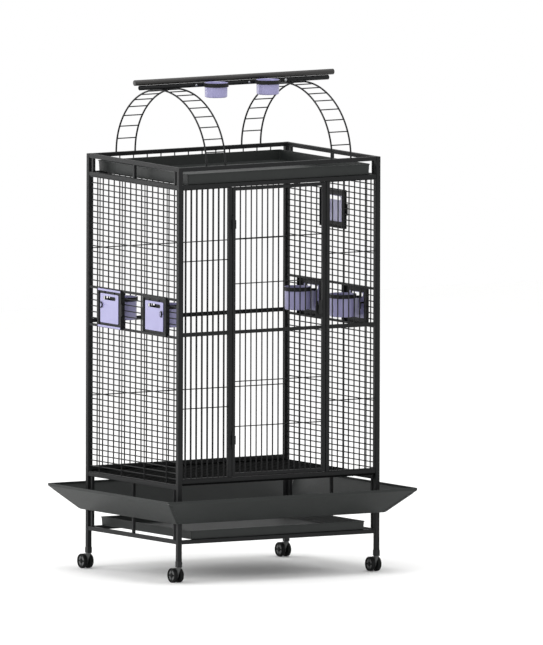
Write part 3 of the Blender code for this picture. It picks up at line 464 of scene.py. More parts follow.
def rounded(points, radius, steps=4):  # a line of points with its inner corners rounded
    line = [Vector(points[0])]
    for before, corner, after in zip(points, points[1:], points[2:]):
        before, corner, after = Vector(before), Vector(corner), Vector(after)
        back, ahead = (before - corner), (after - corner)
        turn = math.pi - back.angle(ahead)
        reach = min(radius * math.tan(turn / 2), back.length * 0.45, ahead.length * 0.45)
        a, b = corner + back.normalized() * reach, corner + ahead.normalized() * reach
        for i in range(steps + 1):
            t = i / steps
            line.append(a.lerp(corner, t).lerp(corner.lerp(b, t), t))
    return line + [Vector(points[-1])]


def thickened(line, thickness):  # both faces of a sheet whose middle follows the line, as one closed outline
    left, right = [], []
    for i, point in enumerate(line):
        along = (line[min(i + 1, len(line) - 1)] - line[max(i - 1, 0)]).normalized()
        across = Vector((-along.y, along.x)) * thickness / 2
        left.append(point + across)
        right.append(point - across)
    return left + right[::-1]


def spaced(low, high, pitch):  # even places between two edges, as near to the pitch as they can be
    gaps = max(1, round((high - low) / pitch))
    return [low + (high - low) * i / gaps for i in range(1, gaps)]


def centred(low, high, pitch):  # as many places as there are whole pitches, at just the pitch, about the middle
    count = int((high - low) / pitch)
    first = (low + high - (count - 1) * pitch) / 2
    return [first + i * pitch for i in range(count)]


def addBars(piece, positions, low, high, radius, windows=(), level=False, depth=0.0):
    # bars side by side, cut where a window (u0, v0, u1, v1) is: level ones lie along u, the others along v
    def stretches(at):
        ends = [low]
        for u0, v0, u1, v1 in windows:
            near, far, start, stop = (v0, v1, u0, u1) if level else (u0, u1, v0, v1)
            if near < at < far:
                ends += [start, stop]
        ends.append(high)
        return tuple(zip(ends[::2], ends[1::2]))

    for spans, row in groupby(positions, stretches):
        row = list(row)
        step = row[1] - row[0] if len(row) > 1 else 0.0
        for start, stop in spans:
            first, gap, reach = (start, row[0]), (0.0, step), (stop - start, 0.0)
            if not level:
                first, gap, reach = first[::-1], gap[::-1], reach[::-1]
            put(piece, grown(barRow, {
                "Start": (*first, depth), "Step": (*gap, 0.0), "Count": len(row), "Reach": (*reach, 0.0),
                "Radius": radius, "Sides": cage["barSides"], "Weld": radius * cage["weldShare"],
                "Flare": cage["weldFlare"], "Material": piece["finish"],
            }))


def addScrews(piece, points, axis, sizes, finish, turn=Matrix()):  # sizes: head radius and height, washer height
    settings = dict(zip(("Head", "Height", "Washer"), sizes), Axis=axis, Material=finish)
    put(piece, grown(screwRow, settings, points), turn, finish)


def sidePlace(side):  # -1 is the left wall and 1 the right one, both seen from outside
    return placed((side * cage["postX"], 0, 0), (0, side, 0))


frontPlace = placed((0, -cage["postY"], 0), (1, 0, 0))
backPlace = placed((0, cage["postY"], 0), (-1, 0, 0))


# Camera, light and floor

lights = {  # place, the height aimed at, size, power
    "key": ((-4.5, -0.6, 2.3), 0.8, 2.2, 52), "sheen": ((-2.4, 4.2, 1.8), 0.9, 2.6, 55),
    "top": ((0.2, -0.4, 4.6), 0.9, 3.0, 70),
}
floorHalf = 8.0


def makeCamera():
    azimuth, elevation = math.radians(view["azimuth"]), math.radians(view["elevation"])
    back = Vector((math.sin(azimuth) * math.cos(elevation), -math.cos(azimuth) * math.cos(elevation),
                   math.sin(elevation)))
    made = added("camera", bpy.data.cameras.new("camera"))
    made.data.type = "ORTHO"  # the photograph's parallel edges stay parallel
    made.data.ortho_scale = view["photoHeight"] / view["pixelsPerMetre"]
    made.location = Vector(view["aim"]) + back * view["distance"]
    turn = back.to_track_quat("Z", "Y").to_matrix().to_4x4() @ Matrix.Rotation(math.radians(view["roll"]), 4, "Z")
    made.rotation_euler = turn.to_euler()
    bpy.context.scene.camera = made


def makeStudio():
    world = bpy.data.worlds.new("studio")
    bpy.context.scene.world = world
    world.use_nodes = True
    air = world.node_tree.nodes["Background"]
    air.inputs["Color"].default_value = linear("#FFFFFF")
    air.inputs["Strength"].default_value = 1.0
    for name, (place, aimZ, size, power) in lights.items():
        made = added(name, bpy.data.lights.new(name, "AREA"))
        made.data.shape = "DISK"
        made.data.size = size
        made.data.energy = power
        made.location = place
        made.rotation_euler = (Vector(place) - Vector((0, 0, aimZ))).to_track_quat("Z", "Y").to_euler()
    bpy.context.scene.view_settings.view_transform = "Standard"  # the finishes' hex colours come out as picked
    board, tree, place = newFinish("paleFloor")  # matt painted board: almost white, very slightly uneven
    cloud = addNode(tree, "ShaderNodeTexNoise", {"Vector": place, "Scale": perMetre(900), "Detail": 2.0})
    dressed(board, ("#FCFCFB", "#FEFEFE"), cloud, constants={"Roughness": 0.9})
    mesh = bpy.data.meshes.new("floor")
    corners = framed(-floorHalf, -floorHalf, floorHalf, floorHalf)
    mesh.from_pydata([(x, y, 0) for x, y in corners], [], [(0, 1, 2, 3)])
    mesh.materials.append(board)
    added("floor", mesh)


makeCamera()
makeStudio()
print("camera, light and floor set")


# Frame of posts and rails

posts = {"plugZ": 0.054, "plugHigh": 0.020, "plugLip": 0.001, "footZ": 0.061, "ledgeDepth": 0.022, "roofPitch": 0.027}


def makeSideFrame(side, name):
    piece = begin(f"{name}_frame_tubes", coat, sidePlace(side))
    half, tube, short = cage["post"] / 2, cage["tube"] / 2, cage["shortPost"] / 2
    for u in (-cage["postY"], cage["postY"]):
        put(piece, block((u - half, posts["footZ"], -half), (u + half, cage["top"], half)))
    reach = cage["innerY"] + cage["post"] / 3
    for rail in ("topRailZ", "headerZ", "lowerZ", "baseZ"):
        back = tube - posts["ledgeDepth"] if rail == "baseZ" else -tube
        put(piece, block((-reach, cage[rail] - tube, back), (reach, cage[rail] + tube, tube)))
    for lower, upper in ((cage["lowerZ"], cage["baseZ"]), (cage["headerZ"], cage["topRailZ"])):
        for u in (-cage["shortPostY"], 0, cage["shortPostY"]):
            put(piece, block((u - short, lower, -short), (u + short, upper, short)))
    fitted(piece, "cage", [f"{name}_side_frame"])


def makePlugs():
    piece = begin("leg_plugs", nylon)
    wide = cage["post"] / 2 + posts["plugLip"]
    low, high = posts["plugZ"], posts["plugZ"] + posts["plugHigh"]
    for x in (-cage["postX"], cage["postX"]):
        for y in (-cage["postY"], cage["postY"]):
            put(piece, block((x - wide, y - wide, low), (x + wide, y + wide, high)))
    fitted(piece, "cage")


def makeCrossRails():
    piece = begin("cross_rails", coat)
    tube, reach = cage["tube"] / 2, cage["innerX"] - cage["seat"]
    for side, rail in ((-1, "topRailZ"), (-1, "frontBaseZ"), (-1, "lowerZ"), (1, "lowerZ")):
        y, z = side * cage["postY"], cage[rail]
        put(piece, block((-reach, y - tube, z - tube), (reach, y + tube, z + tube)))
    fitted(piece, "cage",
           ["front_top_rail", "front_base_rail", "front_lower_rail", "back_lower_rail"])


def makeRoof():
    piece = begin("roof_bars", coat)
    tube, deep, reach = cage["tube"] / 2, cage["sideDepth"] / 2, cage["innerX"] - cage["seat"]
    near, far = -cage["postY"] - tube, cage["postY"] - tube - cage["seat"]
    inner, z, strip = near + cage["tube"], cage["headerZ"], cage["strip"]
    put(piece, block((-reach, near, z - tube), (reach, inner, z + tube)))
    hole = framed(-reach + strip, inner, reach - strip, far - strip)
    put(piece, cutPlate(framed(-reach, inner - strip, reach, far), [hole], z - deep, z + deep))
    xs = spaced(-reach + strip, reach - strip, posts["roofPitch"])
    addBars(piece, xs, inner - strip / 2, far - strip / 2, cage["wire"] / 2, depth=z)
    fitted(piece, "cage", ["roof_panel"])


for side, name in ((-1, "left"), (1, "right")):
    makeSideFrame(side, name)
makePlugs()
makeCrossRails()
makeRoof()
print("posts, rails and roof made")


# Side walls

wall = {
    "half": 0.2837, "pitch": 0.0195, "crossU": (-0.217, -0.073, 0.073, 0.217), "crossW": 0.00405,
    "lower": (0.3323, 0.8387), "feeders": (0.8390, 0.9690), "upper": (0.9693, 1.3487),
    "opening": (0.140, 0.122), "openingStrip": 0.004, "feederU": 0.145, "feederZ": 0.904, "hatchZ": 1.222,
}
swing = {
    "wide": 0.152, "high": 0.134, "rim": 0.009, "back": 0.0065, "thick": 0.005, "ledge": 0.002, "axisU": 0.0798,
    "axisW": 0.0095, "sleeve": 0.0035, "bore": 0.0022, "sleeveLong": 0.030, "ear": 0.005, "pin": 0.0018,
    "plate": (0.115, 0.100), "plateThick": 0.002, "plateCorner": 0.004, "slot": (0.080, 0.013), "slotDrop": 0.008,
    "knob": (0.052, 0.010), "knobRadius": 0.011, "knobThick": 0.0037, "shaft": 0.003, "shaftHole": 0.0034,
    "inlayShift": 0.0022, "inlayMargin": 0.0044, "tongue": (0.006, 0.0018), "ledgeLap": 0.005, "lap": 0.001,
    "frameCorner": 0.004, "holeCorner": 0.002, "ledgeCorner": 0.005, "frameEdge": 0.0011, "fineEdge": 0.0004,
    "knobEdge": 0.001, "inlayLift": 0.0003, "inlayEdge": 0.0002, "tongueEdge": 0.0005,
}


def makeHingeEars(piece, u, z, hand):  # two ears with the pin between them, beside an opening
    axis, long = u - hand * swing["axisU"], swing["sleeveLong"] / 2
    near = u - hand * (wall["opening"][0] + wall["openingStrip"]) / 2
    far = axis - hand * swing["sleeve"]
    step = axis + hand * swing["sleeve"] * 0.4
    back, face = cage["wire"] / 2 + swing["lap"], cage["sideDepth"] / 2 - 2 * cage["seat"]
    for sign in (-1, 1):
        bottom, top = sorted((z + sign * (long + cage["seat"]), z + sign * (long + swing["ear"])))
        for inner, high in ((near, face), (step, swing["axisW"] + swing["sleeve"] * 0.92)):
            a, b = sorted((inner, far))
            put(piece, smallBlock((a, bottom, back), (b, top, high)))
    reach = (swing["sleeveLong"] + swing["ear"]) / 2
    put(piece, rod(swing["pin"], -reach, reach, 16), upright((axis, z, swing["axisW"]), (0, 1, 0)))


def makeWall(side, name):
    piece = begin(f"{name}_wall_bars", coat, sidePlace(side))
    half, strip, deep, band = wall["half"], cage["strip"], cage["sideDepth"] / 2, wall["openingStrip"]
    openWide, openHigh = wall["opening"][0] / 2, wall["opening"][1] / 2
    feeders = [(-wall["feederU"], wall["feederZ"], -1), (wall["feederU"], wall["feederZ"], 1)]
    hatches = [(0.0, wall["hatchZ"], 1)] if side > 0 else []
    for panel, edge, swings in (("lower", strip, []), ("feeders", band, feeders), ("upper", strip, hatches)):
        low, high = wall[panel]
        windows, edges = [], [-half + strip]
        for u, z, hand in swings:
            u0, v0, u1, v1 = u - openWide, z - openHigh, u + openWide, z + openHigh
            if edge == strip:
                outer = framed(u0 - band, v0 - band, u1 + band, v1 + band)
                put(piece, cutPlate(outer, [framed(u0, v0, u1, v1)], -deep, deep))
            else:  # an opening as high as its panel shares the panel's rim
                edges += [u0 - band, u0, u1, u1 + band]
            reach = band + cage["wire"] / 2
            windows.append((u0 - band / 2, v0 - reach, u1 + band / 2, v1 + reach))
            makeHingeEars(piece, u, z, hand)
        edges.append(half - strip)
        holes = [framed(a, low + edge, b, high - edge) for a, b in zip(edges[::2], edges[1::2])]
        put(piece, cutPlate(framed(-half, low, half, high), holes, -deep, deep))
        levels = spaced(low + edge, high - edge, wall["pitch"])
        addBars(piece, levels, -half + strip / 2, half - strip / 2, cage["wire"] / 2, windows, level=True)
        if edge == strip:
            for u in wall["crossU"]:
                addBars(piece, [u], low + edge / 2, high - edge / 2, cage["crossWire"] / 2, depth=wall["crossW"])
    fitted(piece, "cage",
           [f"{name}_lower_mesh", f"{name}_feeder_panel", f"{name}_upper_mesh"])


makeWall(-1, "left")
makeWall(1, "right")
print("side walls made")


# Front and back

front = {
    "low": 0.3529, "high": 1.3487, "inner": 0.189, "outer": 0.3887, "brace": 0.004, "crossZ": (0.595, 1.100),
    "hingeZ": (0.480, 1.220), "barrel": 0.014, "play": 0.002, "stopPitch": 0.054, "inset": 0.0002, "lap": 0.001,
    "wide": 0.01, "braceEdge": 0.0008,
}
door = {
    "half": 0.187, "low": 0.3546, "high": 1.347, "tube": 0.012, "crossZ": (-0.325, -0.1705, 0.1645, 0.319),
    "axis": (-0.188, -0.3025), "sleeve": 0.0035, "bore": 0.0022, "sleeveLong": 0.030, "soft": 0.0005, "pin": 0.0018,
    "lockPlate": (0.028, 0.044, 0.002), "lockCorner": 0.004, "lockEdge": 0.0004,
    "latch": (0.163, 0.905), "latchHead": 0.009, "latchLong": 0.038,
    "latchTip": 0.005, "latchThick": 0.004, "latchEdge": 0.0012, "latchShaft": 0.003, "latchHole": 0.0034,
    "tongue": (0.008, 0.003), "tongueReach": 0.0344,
    "latchCap": ((0.0052, 0), (0.0052, 0.0003), (0.0045, 0.0009), (0.0002, 0.0011)),
}


def makeUprights(piece, corners, strips, depth, places, barTop=None):
    # a flat panel's rim and upright bars. Its level members lie a hair inside the side ones that they are welded to
    u0, v0, u1, v1 = corners
    left, right, bottom, top = strips
    half, inset = depth / 2, front["inset"]
    start, stop = u0 + left - min(left / 2, 2 * front["lap"]), u1 - right + min(right / 2, 2 * front["lap"])
    members = ((u0, v0, u0 + left, v1, 0.0), (u1 - right, v0, u1, v1, 0.0),
               (start, v0 + inset, stop, v0 + bottom, inset), (start, v1 - top, stop, v1 - inset, inset))
    for a, b, c, d, sunk in members:
        edge = cage["tubeEdge"] if min(c - a, d - b) > front["wide"] else cage["thinEdge"]
        put(piece, block((a, b, sunk - half), (c, d, half - sunk), edge))
    addBars(piece, places, v0 + bottom * 0.6, barTop or v1 - top * 0.6, cage["bar"] / 2)


def makeCrossings(piece, u0, u1, tube, heights):  # a flat middle rail before the uprights, and wires behind them
    z, face = cage["middleZ"], tube / 2 - front["inset"]
    low = (u0, z - tube / 2, face - front["brace"])
    put(piece, smallBlock(low, (u1, z + tube / 2, face), front["braceEdge"]))
    depth = -(cage["bar"] / 2 + cage["crossWire"] / 2 + cage["seat"])
    for height in heights:
        addBars(piece, [height], u0, u1, cage["crossWire"] / 2, level=True, depth=depth)


def makeBarrels(piece, edge):  # the fixed barrels and pins of the door's hinges
    face, radius, long, soft = cage["tube"] / 2, door["sleeve"], door["sleeveLong"] / 2, door["soft"]
    axisU, axisW = edge + front["play"] / 2, face + radius
    for z in front["hingeZ"]:
        for sign in (-1, 1):
            low, high = sorted((z + sign * (long + cage["seat"]), z + sign * (long + front["barrel"])))
            tall = high - low
            barrel = turned([(radius - soft, 0), (radius, soft), (radius, tall - soft), (radius - soft, tall)], 24)
            put(piece, barrel, upright((axisU, low, axisW), (0, 1, 0)))
            corner = (edge - cage["tube"] + front["lap"], low, face - front["lap"])
            put(piece, smallBlock(corner, (edge - cage["seat"], high, axisW - front["lap"])))
        reach = long + front["barrel"] / 3
        put(piece, rod(door["pin"], -reach, reach, 16), upright((axisU, z, axisW), (0, 1, 0)))


def makeFrontPanel(side, name):
    piece = begin(f"front_{name}_bars", coat, frontPlace)
    u0, u1 = sorted((side * front["inner"], side * front["outer"]))
    strip, tube = cage["strip"], cage["tube"]
    left, right = (strip, tube) if side < 0 else (tube, strip)
    places = centred(u0 + left, u1 - right, cage["barPitch"])
    makeUprights(piece, (u0, front["low"], u1, front["high"]), (left, right, strip, strip), tube, places)
    makeCrossings(piece, u0 + left - strip / 2, u1 - right + strip / 2, tube, front["crossZ"])
    if side < 0:
        makeBarrels(piece, u1)
    fitted(piece, "cage", [f"front_{name}_panel"])


def makeBack():
    piece = begin("back_bars", coat, backPlace)
    outer, strip, tube, header = front["outer"], cage["strip"], cage["tube"], cage["headerZ"]
    inner, reach, depth = outer - strip, outer - strip / 2, tube / 2 - front["inset"]
    makeUprights(piece, (-outer, cage["frontBaseZ"] - tube / 2, outer, cage["top"]), (strip, strip, tube, tube), tube,
                 spaced(-inner, inner, cage["barPitch"]), header)
    put(piece, block((-reach, header - tube / 2, -depth), (reach, header + tube / 2, depth)))
    makeCrossings(piece, -reach, reach, tube, front["crossZ"])
    stops = spaced(-inner, inner, front["stopPitch"])
    addBars(piece, stops, header + tube / 2 - front["lap"], cage["top"] - tube + front["lap"], cage["wire"] / 2)
    fitted(piece, "cage", ["back_panel"])


def makeDoor():
    piece = begin("front_door_bars", coat, frontPlace)
    half, tube, middle, lap = door["half"], door["tube"], cage["middleZ"], front["lap"]
    places = spaced(-half + tube, half - tube, cage["barPitch"])
    makeUprights(piece, (-half, door["low"], half, door["high"]), (tube,) * 4, tube, places)
    railEnd = half - tube + 2 * lap
    makeCrossings(piece, -railEnd, railEnd, tube, [middle + z for z in door["crossZ"]])
    axisU, axisW = door["axis"][0], -door["axis"][1] - cage["postY"]
    bore, long = door["bore"], door["sleeveLong"]
    for z in front["hingeZ"]:
        put(piece, sleeve(bore, door["sleeve"], long, door["soft"]), upright((axisU, z, axisW), (0, 1, 0)))
        low = (axisU + bore + cage["seat"], z - long / 2, tube / 2 - lap)
        put(piece, smallBlock(low, (-half + tube - lap, z + long / 2, axisW + lap)))
    wide, high, thick = door["lockPlate"]
    u, z = door["latch"]
    outline = framed(half - tube - wide, z - high / 2, half - tube / 2, z + high / 2, door["lockCorner"])
    hole = arc((u, z), door["latchHole"], 0, 350, 23)
    put(piece, cutPlate(outline, [hole], tube / 2 - lap - thick, tube / 2 - lap, door["lockEdge"]))
    fitted(piece, "front_door", ["front_door"])


def makeLatch():
    piece = begin("door_latch_lever", nylon, frontPlace @ Matrix.Translation((*door["latch"], 0)))
    face, long, tip = cage["tube"] / 2 + 2 * cage["seat"], door["latchLong"], door["latchTip"]
    outline = arc((0, 0), door["latchHead"], 150, 390, 24) + arc((0, long - tip), tip, 0, 180, 10)
    put(piece, cutPlate(outline, [], face, face + door["latchThick"], door["latchEdge"], 3))
    put(piece, turned(door["latchCap"], 32), upright((0, 0, face + door["latchThick"])))
    back = -cage["tube"] / 2 - 5 * cage["seat"]
    wide, thick = door["tongue"]
    put(piece, rod(door["latchShaft"], back - thick / 2, face + front["lap"]))
    low = (-wide / 2, -wide / 2 - front["lap"], back - thick)
    put(piece, smallBlock(low, (wide / 2, door["tongueReach"], back)))
    fitted(piece, "door_latch", ["door_latch"])


makeFrontPanel(-1, "left")
makeFrontPanel(1, "right")
makeBack()
makeDoor()
makeLatch()
print("front, back and door made")


# Feeder doors and the upper hatch

bowl = {"radius": 0.045, "high": 0.078, "armU": 0.030, "armWide": 0.008}
ring = {"wall": 0.003, "high": 0.008, "rise": 0.006, "collar": 0.0011, "rimShare": 0.5, "dishWall": 0.0014, "sides": 56}


def vessel(ringRadius, high):  # a pressed bowl's section, from under its foot over the rolled rim to the floor
    radius, rim, wallThick = ringRadius - cage["seat"], ringRadius + ring["wall"] * ring["rimShare"], ring["dishWall"]
    low, top, waist = -high / 2, high / 2, -high / 2 + high * 0.55
    under, inner = top - ring["rise"] + cage["seat"], radius - wallThick
    foot = ((0.76, 0.0014), (0.78, 0.0003), (0.89, 0.0), (0.93, 0.0006), (0.96, 0.0022), (0.973, 0.0048))
    outside = [(radius * share, low + lift) for share, lift in foot]
    outside += [(radius - 0.0008, waist), (radius - 0.0006, under)]
    rolled = [(rim - 0.0006, under), (rim, under + 0.0006), (rim, top - 0.0022), (rim - 0.0008, top - 0.0008),
              (rim - 0.0022, top), (inner + 0.0006, top), (inner - 0.0006, top - 0.0010)]
    inside = [(inner - 0.0012, under), (inner - 0.0014, waist), (radius * 0.973 - wallThick, low + 0.0072),
              (radius * 0.95 - wallThick, low + 0.0040), (radius * 0.88, low + 0.0026), (radius * 0.77, low + 0.0026),
              (radius * 0.74, low + 0.0036)]
    return turned(outside + rolled + inside, ring["sides"])


def ringBand(radius):  # a ring that a bowl's rim rests on, and its collar round the rim
    inner, outer, low = radius + cage["seat"], radius + ring["wall"], -ring["high"] / 2
    soft, top, collar = cage["thinEdge"], ring["high"] / 2 + ring["rise"], outer - ring["collar"]
    profile = [(inner, low + soft), (inner + soft, low), (outer - soft, low), (outer, low + soft),
               (outer, top - 0.0004), (outer - 0.0004, top), (collar, top), (collar, -low), (inner, -low)]
    return turned(profile, ring["sides"], ends=False)


def makeSwingFrame(name, place, hand, hasBowl):
    piece = begin(f"{name}_swing", coat, place)
    halfU, halfV, back, lap = swing["wide"] / 2, swing["high"] / 2, swing["back"], swing["lap"]
    rimU, rimV = halfU - swing["rim"], halfV - swing["rim"]
    ledgeU, ledgeV = swing["plate"][0] / 2 - swing["ledgeLap"], swing["plate"][1] / 2 - swing["ledgeLap"]
    corner, fine = swing["holeCorner"], swing["fineEdge"]
    rim, hole = evenFrame(halfU, halfV, swing["frameCorner"]), evenFrame(rimU, rimV, corner)
    put(piece, cutPlate(rim, [hole], back, back + swing["thick"], swing["frameEdge"]))
    ledge, window = evenFrame(rimU + lap, rimV + lap, corner), evenFrame(ledgeU, ledgeV, swing["ledgeCorner"])
    put(piece, cutPlate(ledge, [window], back, back + swing["ledge"], fine))
    axisU, axisW = -hand * swing["axisU"], swing["axisW"]
    bore, radius, long = swing["bore"], swing["sleeve"], swing["sleeveLong"]
    put(piece, sleeve(bore, radius, long, fine), upright((axisU, 0, axisW), (0, 1, 0)))
    a, b = sorted((axisU + hand * (bore + cage["seat"]), -hand * (halfU - 2 * lap)))
    put(piece, smallBlock((a, -long / 2, axisW - radius / 2), (b, long / 2, axisW + radius / 2)))
    if hasBowl:
        middle = -(bowl["radius"] + ring["wall"])
        top = bowl["high"] / 2 - ring["rise"]
        low = top - ring["high"]
        put(piece, ringBand(bowl["radius"]), upright((0, top - ring["high"] / 2, middle), (0, 1, 0)))
        reach = bowl["armU"] - bowl["armWide"] / 2
        near = middle + math.sqrt((bowl["radius"] + 2 * cage["seat"]) ** 2 - reach ** 2)
        for sign in (-1, 1):
            a, b = sorted((sign * reach, sign * (reach + bowl["armWide"])))
            put(piece, smallBlock((a, low, near), (b, top, back + lap)))
            put(piece, smallBlock((a, low, back - lap), (b, rimV + lap, back + swing["ledge"]), fine))
    fitted(piece, name, [f"{name}_door"])


def makePlateAndBowl(name, place, hand, hasBowl, flanged):
    piece = begin(f"{name}_plate_and_bowl" if hasBowl else f"{name}_guard_plate", lavender, place)
    wide, high = swing["plate"]
    low = swing["back"] + swing["ledge"] + cage["seat"]
    slotWide, radius = swing["slot"][0], swing["slot"][1] / 2
    end, slotV = slotWide / 2 - radius, high / 2 - swing["slotDrop"] - radius
    slotHole = arc((end, slotV), radius, -90, 90, 12) + arc((-end, slotV), radius, 90, 270, 12)
    shaftHole = arc((hand * swing["knob"][0], swing["knob"][1]), swing["shaftHole"], 0, 345, 23)
    outline = evenFrame(wide / 2, high / 2, swing["plateCorner"])
    put(piece, cutPlate(outline, [slotHole, shaftHole], low, low + swing["plateThick"]))
    nodes = [f"{name}_plate"]
    if flanged:  # thin strips over the frame's top and bottom edge
        face, reach, half = swing["back"] + swing["thick"], swing["wide"] / 2 - 0.004, swing["high"] / 2
        for sign in (-1, 1):
            a, b = sorted((sign * (half - swing["rim"] + swing["lap"]), sign * (half - 0.0012)))
            put(piece, smallBlock((-reach, a, face - 0.0004), (reach, b, face + 0.0006), swing["fineEdge"]))
    if hasBowl:
        middle = -(bowl["radius"] + ring["wall"])
        put(piece, vessel(bowl["radius"], bowl["high"]), upright((0, 0, middle), (0, 1, 0)))
        nodes.append(f"{name}_bowl")
    fitted(piece, name, nodes)


def makeKnob(name, body, place, hand):
    piece = begin(f"{name}_turn_knob", nylon,
                  place @ Matrix.Translation((hand * swing["knob"][0], swing["knob"][1], 0)))
    face, start, radius = swing["back"] + swing["thick"] + cage["seat"], 90 * hand, swing["knobRadius"]
    top = face + swing["knobThick"]
    put(piece, cutPlate(arc((0, 0), radius, start, start + 180, 28), [], face, top, swing["knobEdge"], 3))
    inlay = arc((-hand * swing["inlayShift"], 0), radius - swing["inlayMargin"], start, start + 180, 20)
    lift = swing["inlayLift"]
    put(piece, cutPlate(inlay, [], top - lift, top + lift, swing["inlayEdge"], 1), finish=lavender)
    back = -cage["sideDepth"] / 2 - 2 * cage["seat"]
    wide, thick = swing["tongue"]
    put(piece, rod(swing["shaft"], back - thick / 2, face + swing["lap"]))
    reach = wall["opening"][0] / 2 + wall["openingStrip"] * 0.75 - swing["knob"][0]
    put(piece, smallBlock((-wide / 2, -reach, back - thick), (wide / 2, wide / 2, back), swing["tongueEdge"]))
    fitted(piece, body, [f"{name}_knob"])


for side, wallName in ((-1, "left"), (1, "right")):
    for end, y in (("rear", wall["feederU"]), ("front", -wall["feederU"])):
        name = f"{wallName}_{end}_feeder"
        u = y * side
        hand = 1 if u > 0 else -1
        place = sidePlace(side) @ Matrix.Translation((u, wall["feederZ"], 0))
        makeSwingFrame(name, place, hand, True)
        makePlateAndBowl(name, place, hand, True, end == "rear")
        makeKnob(name, f"{wallName}_{end}_knob", place, hand)
hatchPlace = sidePlace(1) @ Matrix.Translation((0, wall["hatchZ"], 0))
makeSwingFrame("upper_hatch", hatchPlace, 1, False)
makePlateAndBowl("upper_hatch", hatchPlace, 1, False, False)
makeKnob("upper_hatch", "upper_hatch_knob", hatchPlace, 1)
print("feeder doors and hatch made")


# Trays, grate and skirt

trays = {
    "front": -0.2955, "sheet": 0.0012, "rim": 0.003, "draft": 0.002, "corner": 0.006, "fold": 0.0016,
    "top": (0.367, 0.289, 1.3633, 0.037), "bottom": (0.350, 0.292, 0.1463, 0.030),
}
grate = {"half": 0.3884, "front": -0.2955, "back": 0.292, "low": 0.3323, "thick": 0.006, "edge": 0.004,
         "pitch": 0.029, "barRadius": 0.0027}
skirt = {
    "low": 0.205, "high": 0.290, "flange": 0.012, "lip": 0.008, "sheet": 0.0015, "fold": 0.003,
    "outFront": 0.090, "outSide": 0.095, "halfFront": 0.405, "halfSide": 0.300,
    "tabWide": 0.014, "tabThick": 0.0012, "tabInset": 0.001, "tabSpan": (0.04, 0.86), "tabSunk": 0.0003,
    "tabEdge": 0.0004, "rivets": (0.2, 0.45, 0.7), "rivet": (0.0024, 0.0012, 0.0008), "rivetShare": 0.55,
}


def makeTray(name, half, back, low, high):
    piece = begin(f"{name}_pan", sheet)
    lean, thick, fold, top = trays["draft"], trays["sheet"], trays["fold"], low + high
    rim, foot, small = top - trays["rim"], -2 * lean, fold * 0.3
    inner, floor = foot - thick, low + thick
    steps = [(foot - fold, low), (foot - small, low + small), (foot, low + fold), (-lean, rim), (-0.0004, rim),
             (0, rim + 0.0004), (0, top - 0.0005), (-0.0005, top), (-lean - thick, top),
             (-lean - thick - 0.0003, top - 0.0004), (inner, floor + fold), (inner - small, floor + small),
             (inner - fold, floor)]
    loops = []
    for out, z in steps:
        corner = max(trays["corner"] + out, 0.0008)
        outline = framed(-half - out, trays["front"] - out, half + out, back + out, corner, 5)
        loops.append([(x, y, z) for x, y in outline])
    put(piece, lofted(loops))
    fitted(piece, name, [name])


def makeGrate():
    # the grate takes the darker copy of the powder coat: painted shade
    piece = begin("floor_grate_bars", shadedGrateCoat)
    low, edge, half, near, far = grate["low"], grate["edge"], grate["half"], grate["front"], grate["back"]
    hole = framed(-half + edge, near + edge, half - edge, far - edge)
    put(piece, cutPlate(framed(-half, near, half, far), [hole], low, low + grate["thick"]))
    xs = spaced(-half + edge, half - edge, grate["pitch"])
    addBars(piece, xs, near + edge / 2, far - edge / 2, grate["barRadius"], depth=low + grate["thick"] / 2)
    fitted(piece, "floor_grate", ["floor_grate"])


def addCornerTabs(piece, place, half, out, spread):  # folded tabs along the mitres, riveted to the sloped face
    foot = Vector((skirt["low"] - skirt["sheet"], skirt["flange"]))
    slope = Vector((skirt["high"] - skirt["lip"], out)) - foot
    outward = Vector((-slope.y, slope.x)).normalized()

    def onSlope(sign, share, inset, lift):
        z, w = foot + slope * share + outward * lift
        return sign * (half + w * spread / out - inset), z, w

    wide, thick, (start, stop) = skirt["tabWide"], skirt["tabThick"], skirt["tabSpan"]
    corners = ((start, wide), (start, skirt["tabInset"]), (stop, skirt["tabInset"]), (stop, wide))
    for sign in (-1, 1):
        loops = [[onSlope(sign, *corner, lift) for corner in corners] for lift in (-skirt["tabSunk"], thick)]
        put(piece, softened(lofted(loops), skirt["tabEdge"]), place)
        points = [onSlope(sign, share, wide * skirt["rivetShare"], thick) for share in skirt["rivets"]]
        addScrews(piece, points, (0.0, *outward), skirt["rivet"], sheet, place)


def makeSkirt():
    piece = begin("seed_skirt", sheet)
    thick, low, high = skirt["sheet"], skirt["low"], skirt["high"]
    for along in ((1, 0), (-1, 0), (0, -1), (0, 1)):
        lengthways = along[0] != 0
        half, out, offset, spread = skirt["halfSide"], skirt["outSide"], skirt["halfFront"], skirt["outFront"]
        if lengthways:
            half, out, offset, spread = offset, spread, half, out
        place = placed((along[1] * offset, -along[0] * offset, 0), (*along, 0))
        middle = [(cage["seat"], low - thick / 2), (skirt["flange"], low - thick / 2),
                  (out - thick / 2, high - skirt["lip"]), (out - thick / 2, high)]
        section = thickened(rounded(middle, skirt["fold"]), thick)
        loops = [[(sign * (half + w * spread / out - 2 * cage["seat"]), z, w) for w, z in section] for sign in (-1, 1)]
        put(piece, lofted(loops), place)
        if lengthways:
            addCornerTabs(piece, place, half, out, spread)
    fitted(piece, "cage", ["front_skirt", "back_skirt", "left_skirt", "right_skirt"])


makeTray("top_tray", *trays["top"])
makeTray("bottom_tray", *trays["bottom"])
makeGrate()
makeSkirt()
print("trays, grate and skirt made")


# Play top

